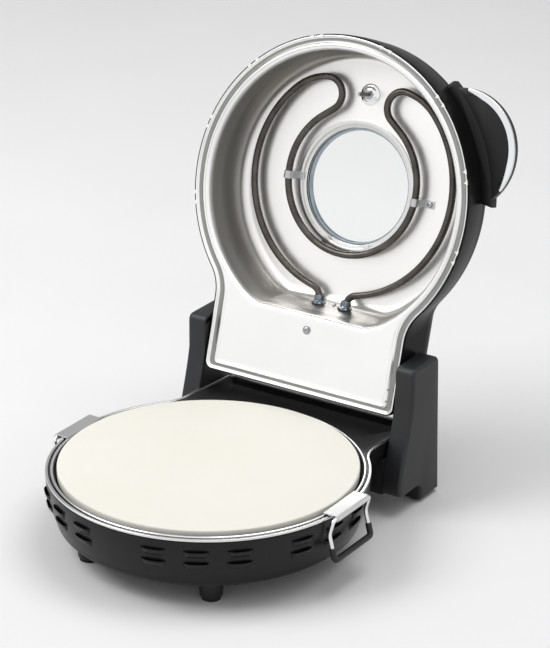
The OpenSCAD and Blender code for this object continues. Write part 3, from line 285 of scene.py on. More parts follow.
shell_black = finish("shell_black", (0.006, 0.006, 0.0065), (0.009, 0.009, 0.0095), (0.28, 0.33),
                     grain=500, bump=(0.02, 0.00003), sheen=0.26)
# painted shade: a darker, less glossy copy of the base's black paint, for the lid's dome
dome_black_shaded_copy = finish("dome_black_shaded_copy", (0.004, 0.004, 0.0045), (0.006, 0.006, 0.0065), (0.30, 0.36),
                    grain=500, bump=(0.02, 0.00003), sheen=0.06)
pan_enamel = finish("pan_enamel", (0.020, 0.020, 0.021), (0.026, 0.026, 0.027), (0.38, 0.45),
                    grain=180, bump=(0.02, 0.00004), sheen=0.36)
# painted shade: a darker copy of the liner's steel for the liner's sunk channel
channel_painted_shade = finish("channel_painted_shade", (0.27, 0.27, 0.265), (0.32, 0.32, 0.315), (0.28, 0.33), metal=1.0,
                       grain=260, bump=(0.01, 0.00002))
# painted shade: dark steel on the tray's walls and ledge, for the shade in the gap round the stone
tray_gap_painted_shade = finish("tray_gap_painted_shade", (0.030, 0.034, 0.040), (0.050, 0.055, 0.062), (0.24, 0.32), metal=0.9,
                    grain=260, bump=(0.01, 0.00002))
# the liner's steel, with painted shade on its drawn wall
liner_steel = steel_with_painted_wall_shade("liner_steel")
rim_steel = finish("rim_steel", (0.70, 0.70, 0.69), (0.76, 0.76, 0.75), (0.20, 0.25), metal=1.0,
                   grain=300, bump=(0.01, 0.00002))
white_steel = finish("white_steel", (0.88, 0.88, 0.88), (0.93, 0.93, 0.93), (0.34, 0.4), metal=0.6,
                     grain=300, bump=(0.01, 0.00002))
bright_chrome = finish("bright_chrome", (0.78, 0.79, 0.80), (0.84, 0.85, 0.86), (0.07, 0.10), metal=1.0,
                       grain=200, bump=(0.006, 0.00002))
tab_steel = finish("tab_steel", (0.66, 0.66, 0.66), (0.72, 0.72, 0.72), (0.30, 0.36), metal=1.0,
                   grain=400, bump=(0.02, 0.00003), stretch=(1, 0.05, 1))
collar_steel = finish("collar_steel", (0.24, 0.30, 0.35), (0.34, 0.40, 0.45), (0.16, 0.22), metal=1.0,
                      grain=200, bump=(0.01, 0.00002), patch=20)
tower_plastic = finish("tower_plastic", (0.015, 0.016, 0.018), (0.020, 0.021, 0.023), (0.42, 0.5),
                       grain=1400, bump=(0.10, 0.00006), sheen=0.42)
handle_plastic = finish("handle_plastic", (0.006, 0.006, 0.0065), (0.009, 0.009, 0.0095), (0.36, 0.42),
                        grain=1200, bump=(0.08, 0.00006), sheen=0.3)
sleeve_black = finish("sleeve_black", (0.006, 0.006, 0.006), (0.010, 0.010, 0.010), (0.3, 0.4),
                      grain=1000, bump=(0.08, 0.00006), sheen=0.4)
foot_plastic = finish("foot_plastic", (0.008, 0.008, 0.008), (0.012, 0.012, 0.012), (0.38, 0.48),
                      grain=1200, bump=(0.08, 0.00006), sheen=0.4)
pad_rubber = finish("pad_rubber", (0.008, 0.008, 0.008), (0.013, 0.013, 0.013), (0.7, 0.82),
                    grain=1200, bump=(0.2, 0.0001), sheen=0.3)
stone_cream = finish("stone_cream", (0.835, 0.815, 0.735), (0.865, 0.845, 0.77), (0.62, 0.78),
                     grain=1400, bump=(0.16, 0.0001), patch=9)
element_tube = finish("element_tube", (0.070, 0.064, 0.058), (0.115, 0.107, 0.099), (0.25, 0.31), metal=1.0,
                      grain=500, bump=(0.03, 0.00004), patch=60)
bush_steel = finish("bush_steel", (0.09, 0.11, 0.13), (0.26, 0.30, 0.33), (0.16, 0.24), metal=1.0,
                    grain=300, bump=(0.02, 0.00003), patch=160)
bush_ceramic = finish("bush_ceramic", (0.72, 0.71, 0.66), (0.80, 0.79, 0.75), (0.4, 0.55),
                      grain=900, bump=(0.06, 0.00006))
screw_steel = finish("screw_steel", (0.34, 0.34, 0.35), (0.52, 0.52, 0.53), (0.18, 0.24), metal=1.0,
                     grain=300, bump=(0.02, 0.00003))
dark_screw = finish("dark_screw", (0.02, 0.02, 0.02), (0.035, 0.035, 0.035), (0.4, 0.5), metal=0.5,
                    grain=300, bump=(0.03, 0.00004), sheen=0.3)
bracket_steel = finish("bracket_steel", (0.46, 0.47, 0.48), (0.58, 0.59, 0.60), (0.24, 0.3), metal=1.0,
                       grain=300, bump=(0.02, 0.00003))
plate_steel = finish("plate_steel", (0.02, 0.02, 0.02), (0.03, 0.03, 0.03), (0.5, 0.6),
                     grain=500, bump=(0.05, 0.00006), sheen=0.3)


def clear_glass():
    """Clear glass with a faint unevenness."""
    m, nodes, links, shader, place = new_material("window_glass")
    fine = noise(nodes, links, place, 30, 2)
    tint(nodes, links, fine, (0.985, 0.995, 0.995), (0.995, 1.0, 1.0), shader.inputs["Base Color"])
    spread(nodes, links, fine, 0.0, 0.01, shader.inputs["Roughness"])
    relief(nodes, links, fine, 0.01, 0.0002, shader)
    shader.inputs["Transmission Weight"].default_value = 1.0
    shader.inputs["IOR"].default_value = 1.45
    return m


window_glass = clear_glass()

CAD_FINISHES = {
    "bottom_plate": plate_steel, "bottom_screws": dark_screw, "foot_pads": pad_rubber,
    "rear_housing": tower_plastic, "tower_cover_left": tower_plastic,
    "tower_cover_right": tower_plastic, "tower_screws": screw_steel, "rear_pads": pad_rubber,
    "hinge_pin_left": screw_steel, "hinge_pin_right": screw_steel, "lower_clips": bracket_steel,
    "lower_bushes": bush_ceramic, "thermostat": bush_ceramic, "terminal_block": bush_ceramic,
    "cord_gland": foot_plastic, "window_tabs": rim_steel,
    "thermal_cutout": bush_ceramic, "hinge_bracket_left": bracket_steel,
    "hinge_bracket_right": bracket_steel, "bracket_screws": screw_steel,
    "handle_screws": screw_steel, "window_glass": window_glass, "rim_tabs": white_steel,
}

# ---------------------------------------------------------------- outlines


def quarter(n, first=0):
    """The angles of n even steps through a right angle, from step first on."""
    return [math.radians(90 * i / n) for i in range(first, n + 1)]


def arc(cx, cy, r, a0, a1, n):
    """Points of an arc, angles in degrees."""
    steps = [math.radians(a0 + (a1 - a0) * i / n) for i in range(n + 1)]
    return [(cx + r * math.cos(a), cy + r * math.sin(a)) for a in steps]


def both_halves(half):
    """A right half outline, from the front round to the rear, with its mirror image."""
    return half + [(-x, y) for x, y in reversed(half[1:])]


def keyhole(r, hw, rear, blend, corner, cy=0.0):
    """The outline of base and lid: a circle with a neck, joined by two hollow curves."""
    bx = hw + blend
    by = cy + math.sqrt((r + blend) ** 2 - bx ** 2)
    a = math.degrees(math.atan2(by - cy, bx))
    hollow = arc(bx, by, blend, a + 180, 180, 30)
    side_end = rear - corner
    side = [(hw, by + (side_end - by) * i / 12) for i in range(1, 12)]
    return both_halves(arc(0, cy, r, -90, a, 72) + hollow[1:] + side
                       + arc(hw - corner, rear - corner, corner, 0, 90, 8))


def base_outline(inset):
    """The base's outline, drawn in by inset."""
    return keyhole(BASE_R - inset, NECK_X - inset, NECK_L - inset, NECK_BLEND + inset,
                   max(NECK_CORNER - inset, 0.6))


def bowl_mouth(r, chord, rounding, cy):
    """A circle cut straight at the rear, with round corners."""
    ky = chord - rounding
    kx = math.sqrt((r - rounding) ** 2 - (ky - cy) ** 2)
    a = math.degrees(math.atan2(ky - cy, kx))
    return both_halves(arc(0, cy, r, -90, a, 60) + arc(kx, ky, rounding, a, 90, 24)[1:])


def around(outline, r, cy):
    """A circle's points in the directions of an outline's points, seen from (0, cy)."""
    return [(r * math.cos(a), cy + r * math.sin(a))
            for a in (math.atan2(y - cy, x) for x, y in outline)]


def towards(outline, other):
    """For each point of one outline, the point of another in the same direction."""
    angles = [math.atan2(y, x) for x, y in other]
    found = []
    for x, y in outline:
        a = math.atan2(y, x)
        for i, b in enumerate(angles):
            c = angles[(i + 1) % len(angles)]
            span = (c - b) % (2 * math.pi)
            part = (a - b) % (2 * math.pi)
            if part <= span + 1e-9 and span < 1:
                t = part / span if span else 0
                p, q = other[i], other[(i + 1) % len(other)]
                found.append((p[0] + (q[0] - p[0]) * t, p[1] + (q[1] - p[1]) * t))
                break
    return found


# ---------------------------------------------------------------- mesh helpers


def close_up(mesh):
    """Merges doubled points, which closes seams and poles, and turns every face outwards."""
    bm = bmesh.new()
    bm.from_mesh(mesh)
    bmesh.ops.remove_doubles(bm, verts=bm.verts, dist=0.001)
    bmesh.ops.recalc_face_normals(bm, faces=bm.faces)
    bm.to_mesh(mesh)
    bm.free()


def piece(name, points, faces, place, body, material, node=(), slot=None, sharp=35, second=None):
    """A mesh drawn in millimetres, put in place and handed to its body.

    second is another material with the numbers of the faces that take it.
    """
    mesh = bpy.data.meshes.new(name)
    mesh.from_pydata([tuple(p) for p in points], [], faces)
    mesh.materials.append(material)
    if second:
        mesh.materials.append(second[0])
        for i in second[1]:
            mesh.polygons[i].material_index = 1
    close_up(mesh)
    mesh.transform(place)
    obj = bpy.data.objects.new(name, mesh)
    bpy.context.collection.objects.link(obj)
    shade(obj, sharp)
    hand_over(obj, body, node)


def shade(obj, sharp):
    """Smooth shading that breaks at edges past an angle in degrees."""
    obj.data.shade_smooth()
    obj.data.set_sharp_from_angle(angle=math.radians(sharp))


def hand_over(obj, body, node):
    """Hides the nodes that the piece replaces and rides it on its body."""
    if node:
        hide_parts(*([node] if isinstance(node, str) else node))
    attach(obj, body)


def finished(obj):
    """Turns the object into a plain mesh, with its modifiers applied and gone."""
    bpy.context.view_layer.update()
    evaluated = obj.evaluated_get(bpy.context.evaluated_depsgraph_get())
    mesh = bpy.data.meshes.new_from_object(evaluated)
    obj.modifiers.clear()
    obj.data = mesh


def skin(loops, wrap=True, caps=False):
    """Quads between loops of equal length; wrap joins the last loop to the first."""
    n = len(loops[0])
    points = [p for loop in loops for p in loop]
    faces = []
    for i in range(len(loops) if wrap else len(loops) - 1):
        k = (i + 1) % len(loops)
        for j in range(n):
            m = (j + 1) % n
            faces.append((i * n + j, i * n + m, k * n + m, k * n + j))
    if caps:
        faces.append(tuple(range(n)))
        faces.append(tuple((len(loops) - 1) * n + j for j in reversed(range(n))))
    return points, faces


def level(outline, z):
    """A flat outline at a height."""
    return [(x, y, z) for x, y in outline]


def ring(r, n, z=0.0, centre=(0, 0)):
    """n points of a circle at a height."""
    cx, cy = centre
    return [(cx + r * math.cos(2 * math.pi * j / n), cy + r * math.sin(2 * math.pi * j / n), z)
            for j in range(n)]


def drooped(points):
    """Lowers what lies behind the neck's bend, more and more towards the hinge."""
    return [(x, y, z - max(0.0, y - BEND_Y) * math.tan(DROOP)) for x, y, z in points]


def lathe(profile, centre=(0, 0, 0), n=180):
    """A closed profile of (radius, height) points turned about the vertical."""
    return skin([ring(r, n, centre[2] + z, centre[:2]) for r, z in profile])


def lathe_down(profile, centre, n):
    """A closed profile of (radius, depth) points turned about the vertical."""
    return lathe([(r, -h) for r, h in profile], centre, n)


def round_profile(corners, r, n=4):
    """Rounds each corner of a closed (radius, height) profile, at most by r."""
    out = []
    count = len(corners)
    for i, p in enumerate(corners):
        p = Vector(p)
        a, b = Vector(corners[i - 1]), Vector(corners[(i + 1) % count])
        k = min(r, (a - p).length * 0.45, (b - p).length * 0.45)
        if p.x < 0.001:
            out.append(tuple(p))
            continue
        start, end = p + (a - p).normalized() * k, p + (b - p).normalized() * k
        for j in range(n + 1):
            t = j / n
            q = start * (1 - t) ** 2 + p * 2 * t * (1 - t) + end * t ** 2
            out.append((q.x, q.y))
    return out


def rounded_path(points, k, n=6):
    """A path in space with each inner corner rounded by a curve that starts k before it."""
    points = [Vector(p) for p in points]
    out = [points[0]]
    for i in range(1, len(points) - 1):
        p = points[i]
        a = p + (points[i - 1] - p).normalized() * k
        b = p + (points[i + 1] - p).normalized() * k
        out += [a * (1 - j / n) ** 2 + p * 2 * (j / n) * (1 - j / n) + b * (j / n) ** 2
                for j in range(n + 1)]
    return out + [points[-1]]


def tube(path, r, normal, sides=24, round_end=0.0):
    """A round rod along a path that never runs along the normal, with closed ends."""
    path = [Vector(p) for p in path]
    loops = []
    last = len(path) - 1
    for i, p in enumerate(path):
        d = (path[min(i + 1, last)] - path[max(i - 1, 0)]).normalized()
        side = d.cross(Vector(normal)).normalized()
        up = side.cross(d)
        loops.append([tuple(p + r * (math.cos(2 * math.pi * j / sides) * side
                                     + math.sin(2 * math.pi * j / sides) * up))
                      for j in range(sides)])
    if round_end:
        for end, inner in ((0, 1), (-1, -2)):
            p = path[end]
            d = (p - path[inner]).normalized()
            cap = [tuple(p + d * round_end + (Vector(q) - p) * 0.72) for q in loops[end]]
            loops.insert(0 if end == 0 else len(loops), cap)
    return skin(loops, wrap=False, caps=True)


def joined(*parts):
    """Several (points, faces) parts as one."""
    points, faces = [], []
    for p, f in parts:
        k = len(points)
        points += list(p)
        faces += [tuple(i + k for i in face) for face in f]
    return points, faces


# ---------------------------------------------------------------- base


def bowl_r_at(z):
    """The bowl's radius at a height."""
    return BASE_R - BOWL_TAPER * ((RIM_Z - z) / (RIM_Z - BOWL_Z)) ** 2


def make_base_shell():
    """Bowl and neck as one pressed wall, open at the top."""
    top, floor = FLANGE_Z - 1, FLANGE_Z - NECK_WALL_H
    z1 = BOWL_Z + BOWL_CORNER
    rc = bowl_r_at(z1) - BOWL_CORNER

    def wall(k):
        """Loops of the wall's outside, or of its inside k further in."""
        low = floor + k
        band = [level(base_outline(BASE_R - bowl_r_at(z) + k), z)
                for z in [top + (low - top) * i / 5 for i in range(6)]]
        neck = base_outline(BASE_R - bowl_r_at(low) + k)
        rings = [level(around(neck, bowl_r_at(z) - k, 0), z)
                 for z in [low + (z1 - low) * i / 7 for i in range(8)]]
        corner = [level(around(neck, rc + (BOWL_CORNER - k) * math.cos(a), 0),
                        z1 - (BOWL_CORNER - k) * math.sin(a))
                  for a in quarter(5, 1)]
        return band + rings + corner + [level(around(neck, rc - 10, 0), BOWL_Z + k)]

    piece("bowl_shell", *tilted_skin(wall(0) + wall(SHELL_T)[::-1]), BENCH, BASE_BODY, shell_black,
          "base_shell", "shell_black", sharp=40)


def make_rim_trim():
    """A bright band round the rim with eased edges."""
    w, e = TRIM_SEEN_W, 0.5
    section = ((0, FLANGE_Z), (0, RIM_Z - e), (e * 0.3, RIM_Z - e * 0.3), (e, RIM_Z), (w - e, RIM_Z),
               (w - e * 0.3, RIM_Z - e * 0.3), (w, RIM_Z - e), (w, FLANGE_Z))
    loops = [level(base_outline(inset_by), z) for inset_by, z in section]
    piece("rim_band", *tilted_skin(loops), BENCH, BASE_BODY, rim_steel, "rim_trim", "rim_steel", sharp=50)


def make_feet():
    """Tapered front feet, as wide and high as the solids."""
    for side, node in ((-1, "front_foot_left"), (1, "front_foot_right")):
        low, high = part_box(node)
        r = (high.x - low.x) / 2 / MM
        z0, z1 = low.z / MM, high.z / MM
        profile = round_profile([(0, z0), (r - 1.5, z0), (r, z1), (0, z1)], 1.6)
        spot = (side * FOOT_SPOT_R * math.sin(FOOT_ANGLE), -FOOT_SPOT_R * math.cos(FOOT_ANGLE), 0)
        points, faces = lathe(profile, spot, 64)
        piece(node.replace("front_foot", "bowl_foot"), points, faces, BENCH, BASE_BODY, foot_plastic,
              node, "foot_plastic")


def make_stone():
    """A round stone with eased edges."""
    z0 = STONE_TOP - STONE_T
    profile = round_profile([(0, z0), (STONE_R, z0), (STONE_R, STONE_TOP), (0, STONE_TOP)], 1.6, 6)
    piece("pizza_stone", *lathe(profile, n=240), BENCH, BASE_BODY, stone_cream, "baking_stone",
          "baking_stone")


def make_tray():
    """Ledge, wall and rolled rim of the ring that carries the stone."""
    t, r = 1.0, TRAY_WALL_R
    shelf = STONE_TOP - STONE_T
    bead_r = 1.35
    bead_x, bead_z = TRAY_R - 0.5 - bead_r, FLANGE_Z + BEAD_R
    bead = [(bead_x + bead_r * math.cos(a), bead_z + bead_r * math.sin(a))
            for a in [math.radians(-150 + 320 * i / 20) for i in range(21)]]
    profile = [(r + t - 13, shelf - t), (r + t - 0.8, shelf - t), (r + t - 0.2, shelf - t + 0.2),
               (r + t, shelf - t + 0.8), (r + t, bead_z - 1.2)] + bead \
        + [(r, bead_z - 0.6), (r, shelf + 0.6), (r - 0.6, shelf), (r + t - 13, shelf)]
    count, n = len(profile), 240
    # painted shade: every face but the rolled rim's takes the dark steel
    dark = [i * n + j for i in list(range(5)) + list(range(count - 5, count)) for j in range(n)]
    piece("tray_ring", *lathe(profile, n=n), BENCH, BASE_BODY, bright_chrome, "stone_tray",
          "bright_chrome", sharp=50, second=(tray_gap_painted_shade, dark))


def make_pan():
    """Enamelled sheet: flange under the rim, sunk floor in the neck and the well under the stone."""
    t, sunk, slope = 1.0, 3.8, 12.0
    full = base_outline(slope)
    part = [min(1.0, max(0.0, (math.hypot(x, y) - 157.5) / 8)) for x, y in full]

    def kept_out(outline, r):
        """The outline with every point pushed out to r at least."""
        return [(x * max(1.0, r / math.hypot(x, y)), y * max(1.0, r / math.hypot(x, y)))
                for x, y in outline]

    def sheet(k):
        """Loops of the sheet's top, or of its underside k below."""
        def at(outline, drop, z=FLANGE_Z - 0.05 - k):
            """The outline sunk by drop in the neck only."""
            return [(x, y, z - drop * f) for (x, y), f in zip(outline, part)]
        border = ((4.2, 156.4, 0), (5.4, 156.2, 0.35), (slope - 1.2, 156.0, sunk - 0.35),
                  (slope, 155.8, sunk))
        rings = [at(base_outline(0.35 + k), 0)] \
            + [at(kept_out(base_outline(d + k), r + k), drop) for d, r, drop in border] \
            + [at(around(full, WELL_R + 0.7 + k, 0), sunk),
               at(around(full, WELL_R + 0.2 + k, 0), sunk + 0.3)]
        well = [(WELL_R + k, 71.0), (147.5 + k, 48.8), (146.6 + k, 46.4), (145.0 + k, 44.6),
                (142.5 + k * 0.5, 43.8 - k), (60, 43.8 - k), (8, 43.8 - k)]
        return rings + [level(around(full, r, 0), z) for r, z in well]

    piece("reflector_sheet", *tilted_skin(sheet(0) + sheet(t)[::-1]), BENCH, BASE_BODY, pan_enamel,
          "reflector_pan", "pan_enamel", sharp=40)


def tilted_skin(loops):
    """A closed skin whose rear droops with the neck."""
    points, faces = skin(loops)
    return drooped(points), faces


def make_tabs():
    """Sheet tabs whose outer edge is rolled round the bail's pins."""
    x0 = TRAY_IN_R + 0.4
    outer = arc(PIVOT_X, PIVOT_Z, BARREL_R, 90, -200, 20)
    inner = arc(PIVOT_X, PIVOT_Z, BARREL_R - TAB_T, -200, 90, 20)
    section = [(x0, TAB_Z + TAB_T)] + outer + inner + [(PIVOT_X - 2.6, TAB_Z), (x0, TAB_Z)]
    for side, node in ((-1, "tray_tab_left"), (1, "tray_tab_right")):
        loops = [[(side * x, side * y, z) for x, z in section] for y in (-TAB_HALF, TAB_HALF)]
        points, faces = skin(loops, wrap=False, caps=True)
        piece(node.replace("tray_tab", "rolled_tab"), points, faces, BENCH, BASE_BODY, tab_steel,
              node, "bright_chrome", sharp=40)


def make_bails():
    """Wire bails with a sleeve over the bar and the lower legs."""
    bend = 4.2
    leg = [(PIVOT_X, PIVOT_Z), (PIVOT_X - 4.4, PIVOT_Z - 16), (PIVOT_X - 0.6, PIVOT_Z - 30),
           (PIVOT_X + 2.5, PIVOT_Z - 42)]
    for side, word in ((-1, "left"), (1, "right")):
        def both_legs(part, pin=()):
            """The leg's points at the rear and, mirrored, at the front, with a pin at each end."""
            rear = [(side * x, BAIL_HALF, z) for x, z in part]
            pins = [(side * PIVOT_X, BAIL_HALF - length, PIVOT_Z) for length in pin]
            return pins + rear + [(x, -y, z) for x, y, z in rear[::-1] + pins]
        wire = rounded_path(both_legs(leg, (BAIL_PIN,)), bend)
        grip = rounded_path(both_legs(leg[2:]), bend)
        body = BAIL_BODIES[side]
        piece(f"bail_wire_{word}", *tube(wire, WIRE_R, (1, 0, 0), 20), BENCH, body, bright_chrome,
              f"bail_{word}", "wire_steel")
        piece(f"bail_grip_{word}", *tube(grip, GRIP_R, (1, 0, 0), 24, 0.8), BENCH, body, sleeve_black,
              f"bail_sleeve_{word}", "sleeve_black")


def tower_outline():
    """The tower's side as (Y, Z) points, from its heel round the top and front to its foot."""
    top_front = TOWER_REAR - 52
    foot_y = top_front - 22
    bend_z, toe_z, lift, foot_front, pad = TOWER_H - 37, 33, 21, TOWER_REAR - 30, 3

    def ease(t):
        """How far the front edge has swept forward, a fraction t of its way down."""
        return 0.7 * t + 0.15 * (1 - math.cos(math.pi * t))

    front = [(top_front - 22 * ease(i / 16), bend_z + (toe_z - bend_z) * i / 16) for i in range(17)]
    return [(TOWER_REAR + 6.5, pad), (TOWER_REAR + 3.5, TOWER_H - 92)] \
        + arc(TOWER_REAR - 7, TOWER_H - 7, 7, 0, 90, 10) + arc(top_front + 7, TOWER_H - 7, 7, 90, 180, 10) \
        + front + arc(foot_y + 8, lift + 8, 8, 190, 270, 8) \
        + arc(foot_front - 8, lift - 8, 8, 90, 0, 8) + [(foot_front, pad)]


def inset(outline, d):
    """Moves each side of a closed outline inwards by d."""
    out = []
    for i, p in enumerate(outline):
        p = Vector(p)
        u = (p - Vector(outline[i - 1])).normalized()
        v = (Vector(outline[(i + 1) % len(outline)]) - p).normalized()
        m = Vector((-u.y - v.y, u.x + v.x))
        out.append(tuple(p + m * (2 * d / m.length_squared)))
    return out


def make_towers():
    """Hollow-backed towers with a rounded outer edge, each standing on the table."""
    outline = tower_outline()
    r = TOWER_ROUND
    levels = [(TOWER_IN_X, 2.6), (TOWER_X, 2.6), (TOWER_X, 0.8), (TOWER_X + 0.8, 0)]
    levels += [(TOWER_X + TOWER_T - r + r * math.sin(a), r * (1 - math.cos(a))) for a in quarter(7)]
    for side, node in ((-1, "tower_left"), (1, "tower_right")):
        loops = [[(side * x, y, z) for y, z in inset(outline, d)] for x, d in levels]
        points, faces = skin(loops, wrap=False, caps=True)
        piece(node.replace("tower", "hinge_tower"), points, faces, BENCH, BASE_BODY, tower_plastic,
              node, "tower_plastic", sharp=28)


def ring_path(radius, cy, end_y, start, n):
    """Right half of a ring about (0, cy): from angle start to the bend and straight to end_y."""
    c = (TERMINAL_X + TAIL_R, cy + math.sqrt((radius + TAIL_R) ** 2 - (TERMINAL_X + TAIL_R) ** 2))
    a = math.degrees(math.atan2(c[1] - cy, c[0]))
    return arc(0, cy, radius, start, a, n)[1:] + arc(*c, TAIL_R, a + 180, 180, 10)[1:] \
        + [(TERMINAL_X, end_y - 6), (TERMINAL_X, end_y)]


def whole_tube(half, z):
    """A flat tube whose left half mirrors its right half."""
    path = [(-x, y, z) for x, y in reversed(half[1:])] + [(x, y, z) for x, y in half]
    return tube(path, TUBE_R, (0, 0, 1), 24)


def make_lower_element():
    """One ring of tube under the stone, with both ends at the rear."""
    low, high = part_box("lower_element")
    z = (low.z + high.z) / 2 / MM
    half = [(0, -LOWER_R)] + ring_path(LOWER_R, 0, LOWER_END_Y, -90, 60)
    piece("ring_element", *whole_tube(half, z), BENCH, BASE_BODY, element_tube, "lower_element",
          "element_tube")


# ---------------------------------------------------------------- lid


def lid_levels(k):
    """Levels k inside the lid's skin: height, draw-in of circle and neck, forward shift."""
    wall = LID_H - CROWN_H
    levels = []
    for i in range(9):
        t = i / 8
        levels.append((wall * t, LID_DRAFT * t ** 1.5 + k, NECK_DRAFT * t + k,
                       CROWN_FORWARD * wall * t / LID_H))
    for a in quarter(10, 1):
        h = wall + (CROWN_H - k) * math.sin(a)
        levels.append((h, LID_DRAFT + CROWN_W - (CROWN_W - k) * math.cos(a),
                       NECK_DRAFT + NECK_CROWN - (NECK_CROWN - k) * math.cos(a), CROWN_FORWARD * h / LID_H))
    return levels


def lid_outline(v):
    """The lid's outline at one of its levels."""
    h, draw, neck, forward = v
    return keyhole(BASE_R - draw, NECK_X - neck, LID_L - neck, NECK_BLEND + neck,
                   max(NECK_CORNER - neck / 2, 3), -forward)


def make_lid_shell():
    """The painted dome: rolled edge, drawn wall, round crown and the window's hole."""
    outer = [level(lid_outline(v), LID_Z + v[0]) for v in lid_levels(0)]
    outer[0:1] = [level(lid_outline((0, 0.6, 0.6, 0)), LID_Z + 0.1),
                  level(lid_outline((0, 0.15, 0.15, 0)), LID_Z + 0.35),
                  level(lid_outline((0, 0, 0, 0)), LID_Z + 1.0)]
    inner = [level(lid_outline(v), LID_Z + v[0] + (0.3 if v[0] == 0 else 0)) for v in lid_levels(LID_T)]
    crown = lid_outline(lid_levels(0)[-1])
    hole = around(crown, GLASS_R + 0.2, WINDOW_Y)
    flat = around(crown, GLASS_R + 12, WINDOW_Y)
    top = LID_Z + LID_H
    inner_top = top - LID_T
    loops = outer + [level(flat, top), level(hole, top), level(hole, inner_top), level(flat, inner_top)] \
        + inner[::-1]
    piece("lid_dome", *skin(loops), LID, LID_BODY, dome_black_shaded_copy, "lid_shell", "shell_black", sharp=50)


def liner_levels():
    """Depth and draw-in of the liner's wall, then of its round corner with the ceiling."""
    wall = CEILING_D - LINER_CORNER
    levels = []
    for i in range(1, 11):
        t = i / 10
        h = BAND_D + (wall - BAND_D) * t
        levels.append((h, LINER_DRAFT * t ** 1.3))
    for a in quarter(7, 1):
        levels.append((wall + LINER_CORNER * math.sin(a), LINER_DRAFT + LINER_CORNER * (1 - math.cos(a))))
    return levels


def make_liner():
    """Steel sheet: outer lip, channel, ridge, flat neck, round shoulder, bowl wall and ceiling."""
    border = ((1.1, 2.9), (1.1, 0.5), (1.4, 0.1), (1.9, 0), (2.4, 0.3), (2.8, 1.2), (4.0, 2.7), (5.2, 3.1),
              (7.8, 3.1), (8.9, 2.5), (9.6, 1.4), (10.2, 0.8), (10.9, 0.6), (11.6, 0.8), (12.4, 1.4),
              (13.2, 1.9), (13.8, 2.0))
    neck_d, lap, shoulder_w, shoulder_h = border[-1][1], 0.2, 4.0, 5.6

    def rim(k):
        """The liner's outline, k in from the lid's edge."""
        return keyhole(BASE_R - min(k, 12), NECK_X - 1.12 * k, LID_L - 0.8 * k, NECK_BLEND + k,
                       NECK_CORNER - k / 2)

    def mouth(draw, h, forward=None):
        """The bowl's outline at a depth, met in the directions of the border's points."""
        shift = CROWN_FORWARD * h / LID_H if forward is None else forward
        return towards(inner_edge, bowl_mouth(MOUTH_R - draw, CHORD_Y - draw, CHORD_ROUND, -shift))

    inner_edge = rim(border[-1][0])
    edge = mouth(-lap, neck_d, 0)

    def between(t):
        """A loop on the flat neck, a fraction t of the way from the border to the mouth."""
        return [(x + (u - x) * t, y + (v - y) * t) for (x, y), (u, v) in zip(inner_edge, edge)]

    drawn = [(rim(k), h) for k, h in border] + [(between(0.05), neck_d), (between(0.94), neck_d),
                                                (edge, neck_d)]
    for a in quarter(8, 1):
        fall = 1 - math.cos(a)
        h = neck_d + shoulder_h * fall
        drawn.append((mouth(-lap + shoulder_w * math.sin(a), h, 0.4 * fall), h))
    drawn += [(mouth(max(draw, shoulder_w - lap + h * 0.03), h), h) for h, draw in liner_levels()
              if h > neck_d + shoulder_h + 0.8]
    drawn += [(around(inner_edge, r, WINDOW_Y), CEILING_D) for r in (110, 90, 74, 67.5)]
    loops = [level(outline, LID_Z + h) for outline, h in drawn]
    back = [[(x, y, z + LINER_T) for x, y, z in loop] for loop in loops[::-1]]
    n = len(inner_edge)
    # painted shade: the sunk channel's faces take the darker steel
    channel = [i * n + j for i in range(6, 9) for j in range(n)]
    piece("lid_liner_sheet", *skin(loops + back), LID, LID_BODY, liner_steel,
          ("lid_liner", "liner_ceiling"), "liner_steel", sharp=50, second=(channel_painted_shade, channel))


def liner_wall_y(h):
    """Where the bowl's straight rear wall stands at a depth from the lid's rim."""
    t = (h - BAND_D) / (CEILING_D - LINER_CORNER - BAND_D)
    extra = 0.0
    if t > 1:
        rise = (h - (CEILING_D - LINER_CORNER)) / LINER_CORNER
        extra = LINER_CORNER * (1 - math.sqrt(1 - rise ** 2))
    return CHORD_Y - LINER_DRAFT * min(t, 1) ** 1.3 - extra - CROWN_FORWARD * h / LID_H


def make_window():
    """The holder that grips the glass, the bezel on top and the sleeve inside it."""
    top = LID_Z + LID_H
    glass_z = LID_Z + CEILING_D + 3.2
    centre = (0, WINDOW_Y, 0)
    r1, r2 = GLASS_R + 0.15, GLASS_R + 1.55
    ceiling = LID_Z + CEILING_D
    ring = round_profile([(r1, top - LID_T), (r2, top - LID_T), (r2, ceiling), (r2 + 3, ceiling),
                          (r2 + 3, ceiling - 0.8), (r1, ceiling - 0.8), (r1, glass_z - 1),
                          (WINDOW_R, glass_z - 1), (WINDOW_R, glass_z), (r1, glass_z)], 0.3, 3)
    piece("glass_holder", *lathe(ring, centre), LID, LID_BODY, rim_steel, "window_ring", "liner_steel",
          sharp=50)
    bezel = round_profile([(WINDOW_R, glass_z + 4), (GLASS_R - 0.15, glass_z + 4),
                           (GLASS_R - 0.15, top), (WINDOW_R + 9, top), (WINDOW_R + 8, top + 2.4),
                           (WINDOW_R - 0.4, top + 3.0)], 0.4, 3)
    piece("outer_bezel", *lathe(bezel, centre), LID, LID_BODY, bright_chrome, "window_bezel",
          "bright_chrome", sharp=50)
    sleeve = round_profile([(WINDOW_R - 2.6, glass_z + 4.1), (WINDOW_R - 0.5, glass_z + 4.1),
                            (WINDOW_R - 0.5, top + 2.6), (WINDOW_R - 3.4, top + 2.6)], 0.3, 3)
    piece("bezel_sleeve", *lathe(sleeve, centre), LID, LID_BODY, collar_steel, slot="liner_steel",
          sharp=50)


